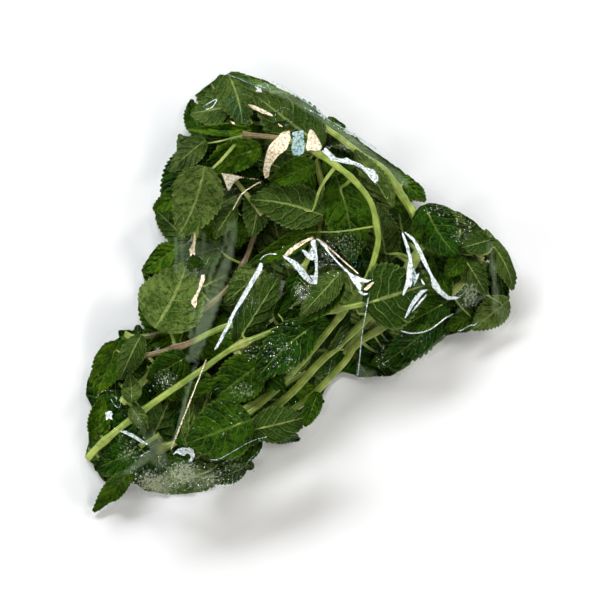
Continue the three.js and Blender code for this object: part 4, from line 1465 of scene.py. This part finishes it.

# %% Dull places: folds that hang like veils, bands of haze that are partly painted reflection, and fog
FOLDS = [
    ([176, 242, 224, 242, 222, 250, 206, 276, 177, 276], 0.4),
    ([232, 222, 228, 244, 222, 262, 212, 285, 206, 300, 200, 315, 196, 328, 188, 362, 196, 362,
      204, 345, 211, 325, 214, 318, 219, 304, 224, 285, 229, 268, 233, 256, 235, 240,
      237, 222], 0.9),
    ([357, 362, 358, 379, 371, 379, 378, 373, 368, 371], 1),
    ([153, 447, 151, 460, 130, 473, 118, 476, 134, 463], 1),
    ([152, 427, 158, 436, 166, 452, 170, 462, 160, 470, 152, 462, 149, 445], 0.7),
    ([131, 411, 136, 409, 152, 446, 148, 447], 0.6),
]
BANDS = [
    ([229, 221, 224, 246, 213, 268, 203, 308, 195, 340, 187, 362], 0.7, 0.9, 1),
    ([236, 228, 231, 252, 222, 276, 213, 308, 205, 340, 197, 358], 0.5, 0.6, 0.9),
    ([232, 240, 222, 272, 210, 312, 202, 340], 0.4, 0.4, 0.8),
    ([198, 360, 188, 392, 178, 430, 170, 450], 0.9, 0.9, 0.6),
    ([176, 236, 176, 256, 177, 276], 0.8, 0.8, 0.8),
    ([182, 232, 183, 275], 0.7, 0.7, 0.6),
    ([204, 230, 202, 262, 196, 300, 190, 340], 0.6, 0.6, 0.5),
    ([406, 262, 420, 292], 1, 1, 0.5),
    ([412, 250, 430, 288], 0.5, 0.5, 0.7),
    ([410, 272, 416, 302], 0.4, 0.4, 0.7),
    ([488, 240, 494, 276, 497, 316], 1.2, 1.2, 1),
    ([455, 313, 470, 303, 490, 294], 0.9, 0.9, 0.9),
    ([500, 306, 508, 320, 500, 332], 3, 3, 0.6),
    ([394, 378, 420, 360, 449, 334], 1.5, 1.5, 0.7),
    ([256, 84, 290, 98, 330, 124, 372, 156, 410, 186], 2.2, 2.2, 0.6),
]
FOG = [
    (156, 484, 24, 14, 1), (184, 472, 20, 14, 1), (210, 478, 20, 12, 0.6), (236, 464, 14, 12, 0.35),
    (128, 452, 12, 14, 0.4), (299, 289, 5, 7, 0.8), (305, 297, 5, 4, 0.7), (470, 294, 11, 14, 0.7),
    (346, 243, 20, 19, 0.3), (326, 252, 8, 14, 0.3), (243, 390, 14, 9, 0.45),
    (168, 377, 11, 9, 0.45), (345, 146, 9, 7, 0.6),
]

# %% Raising the sheet over the heap
RIM_SHARE = 0.45
RIM_LEAST = 1.5
LIP = 0.08
VENT_GLINT = 0.75
WARM_EDGE = 0.3
SOFT_STEPS = [
    reach * np.array([math.cos(turn), math.sin(turn)])
    for reach in (0.2, 0.45) for turn in np.linspace(0, 2 * math.pi, 7)[:-1]
]


def softly_inside(points, corners):
    """How far places lie inside a shape: 1 well inside it, 0 well outside."""
    near = near_to(points, corners, 1)
    share = np.zeros(len(points))
    for step in SOFT_STEPS:
        share[near] += is_inside(points[near] + step, corners) / len(SOFT_STEPS)
    return share


plan = coordinates(mesh)[:, :2] / MM
heights = film_height(plan)
glint, warm, fog, haze_and_glare, lip_shade = np.zeros((5, len(plan)))
# Each crease lifts the sheet and paints its highlight and that highlight's warmth along the ridge.
for line in CREASES:
    rise, white = ridge(line, plan)
    heights += rise
    glint = np.maximum(glint, white)
    if line["warm"]:
        warm = np.maximum(warm, line["warm"] * (ridge(line, plan, WARM_EDGE)[1] > 0))
for vent in VENTS:
    away = from_vent(plan, vent)
    heights += LIP * np.exp(-((away / 0.45) ** 2))
    # A dark ring painted at each vent's edge as painted shade, and a painted highlight ring just
    # outside it.
    lip_shade = np.maximum(lip_shade, smooth_step(1.2 - away / 0.35))
    glint = np.maximum(glint, VENT_GLINT * np.exp(-(((away - 0.45) / 0.25) ** 2)))
for x, y, *reach, depth in FOG:
    away = size_of((plan - place((x, y))) * PIXELS_PER_MM / reach)
    fog = np.maximum(fog, depth * smooth_step(1.3 - away))
# Bands and folds paint haze: partly folded film, partly painted reflection on the film.
for line, before, after, depth in BANDS:
    white = ridge(crease(line, 1, before, after, depth), plan)[1]
    haze_and_glare = np.maximum(haze_and_glare, smooth_step(white * 1.5))
for line, depth in FOLDS:
    haze_and_glare = np.maximum(haze_and_glare, depth * softly_inside(plan, traced(line)))
# Each patch paints a highlight with its own tint.
for patch, tint in PATCHES:
    share = softly_inside(plan, patch)
    warm = np.where(share > glint, tint, warm)
    glint = np.maximum(glint, share)

ends = read(mesh.edges, "vertices", 2, int)
alone = np.bincount(read(mesh.loops, "edge_index", 1, int), minlength=len(ends)) == 1
for vent in VENTS:
    alone &= from_vent(plan[ends[:, 0]], vent) > 0.5
rim_points = np.unique(ends[alone])
heights[rim_points] = np.maximum(heights[rim_points] * RIM_SHARE, RIM_LEAST)
for values in (glint, fog, haze_and_glare):
    values[rim_points] = 0
set_points(mesh, np.column_stack([plan, heights]))
for name, values in zip(FILM_MARKS, (glint, warm, fog, haze_and_glare, lip_shade)):
    paint(mesh, name, values)
print("rim points:", len(rim_points), "film height:", heights.max().round(1), "mm")

# %% The rim turned down and the flat underside
WALL_RINGS = [(0.55, 0.15), (0.12, 0.0), (0.0, 0.7)]
INWARD = inset(rim, 1.0) - rim

for items, chosen in ((mesh.vertices, False), (mesh.polygons, False), (mesh.edges, alone)):
    items.foreach_set("select", np.broadcast_to(chosen, len(items)).copy())
ring = np.column_stack([plan, heights])[rim_points]
nearest = np.argmin(size_of(ring[:, None, :2] - rim), axis=1)
below = ring.copy()
for height_share, inward in WALL_RINGS:
    edit()
    bpy.ops.mesh.select_mode(type="EDGE")
    bpy.ops.mesh.extrude_region_move(TRANSFORM_OT_translate={"value": (0, 0, 0)})
    edit(False)
    chosen = read(mesh.vertices, "select", 1, bool)
    points = coordinates(mesh) / MM
    match = np.argmin(((points[chosen][:, None] - below[None]) ** 2).sum(axis=2), axis=1)
    below[:, :2] = ring[:, :2] + INWARD[nearest] * inward
    below[:, 2] = ring[:, 2] * height_share
    points[chosen] = below[match]
    set_points(mesh, points)
edit()
bpy.ops.mesh.edge_face_add()
close_up(0.00001)
bpy.ops.object.shade_smooth_by_angle(angle=math.radians(40))
mesh.materials.append(film_finish())
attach(film, "root")
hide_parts("film_bag")
print("film faces:", len(mesh.polygons), "lowest:", coordinates(mesh)[:, 2].min() / MM)


# %% [markdown]
# ## Water drops
#
# Mint breathes out water, which settles on the inside of the film: a fog of tiny drops low in the
# bag and loose groups of larger ones elsewhere. A drop is a flattened ball that hangs under the
# film. It is repeated more than a thousand times, so it has only a few dozen faces, and all drops
# are one piece.

# %% Where the drops gather: middle and reach in pixels, and how many
DROPS = [
    (195, 478, 46, 17, 520), (142, 472, 20, 12, 90), (328, 256, 13, 20, 170), (302, 293, 8, 10, 80),
    (284, 352, 20, 26, 230), (464, 296, 9, 13, 100), (462, 232, 16, 12, 80), (165, 382, 20, 10, 80),
    (255, 300, 9, 10, 30), (383, 358, 7, 20, 50), (440, 212, 18, 7, 50), (252, 350, 14, 9, 50),
    (418, 345, 22, 14, 60), (230, 420, 30, 20, 40), (340, 128, 26, 14, 40), (120, 440, 26, 30, 60),
]
DROP_SIZES = (0.1, 0.42)
DROP_FLAT = 0.55
DROP_GAP = 0.02


def scatter(random):
    """Plan places and radii of all drops, denser towards each group's middle."""
    places, sizes = [], []
    for x, y, *reach, count in DROPS:
        spread = np.clip(random.normal(0, 0.5, (count, 2)), -1.3, 1.3)
        places.append(place((x, y) + spread * reach))
        sizes.append(mix(*DROP_SIZES, random.random(count) ** 3))
    return np.concatenate(places), np.concatenate(sizes)


# %% Making the drops
deselect()
bpy.ops.mesh.primitive_uv_sphere_add(segments=6, ring_count=4, radius=1)
drop = bpy.context.object
ball = coordinates(drop.data)
faces = [list(face.vertices) for face in drop.data.polygons]
bpy.data.objects.remove(drop)
places, sizes = scatter(np.random.default_rng(3))
held = is_inside(places, ROOM)
places, sizes = places[held], sizes[held]
tops = film_height(places) - DROP_GAP
for line in CREASES:
    tops += ridge(line, places)[0]
shape = ball * (1, 1, DROP_FLAT) * sizes[:, None, None]
shape += np.column_stack([places, tops - sizes * DROP_FLAT])[:, None]
water = bpy.data.meshes.new("water_drops")
firsts = np.arange(len(places)) * len(ball)
copies = [[first + corner for corner in face] for first in firsts for face in faces]
water.from_pydata(shape.reshape(-1, 3) * MM, [], copies)
drops = bpy.data.objects.new("water_drops", water)
bpy.context.collection.objects.link(drops)
water.polygons.foreach_set("use_smooth", [True] * len(water.polygons))
water.materials.append(water_finish())
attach(drops, "root")
print("drops:", len(places), "faces:", len(water.polygons))


# %% [markdown]
# ## Floor, camera and light
#
# The photograph is taken from straight above on white. Film shows every bright thing above it, so
# the sky over the heap is dark and the light comes in low, from four panels and a pale horizon.
# A panel flashes in the film only where a crease tilts about half way towards it.

# %% Floor and camera
deselect()
bpy.ops.mesh.primitive_plane_add(size=8, location=(0, 0, -0.0003))
floor = bpy.context.object
floor.name = "floor"
plain, _, shader = finish("floor")
connect(shader, {"Base Color": (0.9, 0.9, 0.9, 1), "Roughness": 0.8})
floor.data.materials.append(plain)


def hold(name, data):
    """Puts a camera or a light in the scene."""
    holder = bpy.data.objects.new(name, data)
    bpy.context.collection.objects.link(holder)
    return holder


lens = bpy.data.cameras.new("camera")
lens.lens = 150
camera = hold("camera", lens)
camera.location = (0, -0.002, 1.018)
bpy.context.scene.camera = camera

# %% Studio light: azimuth, zenith angle, width and height, watts and colour of each panel
PANELS = [
    ("upper_left", 112, 52, (0.9, 0.2), 14.5, (0.94, 0.97, 1.0)),
    ("upper_right", 35, 54, (0.6, 0.16), 5.0, (1.0, 0.98, 0.94)),
    ("lower_left", 200, 56, (0.6, 0.16), 4.0, (1.0, 0.99, 0.97)),
    ("lower_right", 300, 54, (0.6, 0.14), 4.8, (1.0, 0.97, 0.92)),
]
PANEL_AWAY = 1.2
SKY = [(0.2, (0.45, 0.455, 0.46, 1)), (0.85, (0.01, 0.01, 0.01, 1))]

for name, azimuth, zenith, size, power, colour in PANELS:
    light = bpy.data.lights.new("panel_" + name, "AREA")
    light.shape = "RECTANGLE"
    light.size, light.size_y = size
    light.energy, light.color = power, colour
    around, down = math.radians(azimuth), math.radians(zenith)
    towards = (math.sin(down) * math.cos(around), math.sin(down) * math.sin(around), math.cos(down))
    holder = hold("panel_" + name, light)
    holder.location = [PANEL_AWAY * part for part in towards]
    holder.rotation_euler = (down, 0, around + math.pi / 2)

world = bpy.data.worlds.new("studio")
bpy.context.scene.world = world
world.use_nodes = True
up = add(world.node_tree, "SeparateXYZ", {0: add(world.node_tree, "TexCoord")}, "Z")
sky = add(world.node_tree, "ValToRGB", {0: up})
for element, (at, colour) in zip(sky.socket.node.color_ramp.elements, SKY):
    element.position, element.color = at, colour
connect(world.node_tree.nodes["Background"], {0: sky})
bpy.context.scene.view_settings.view_transform = "Standard"
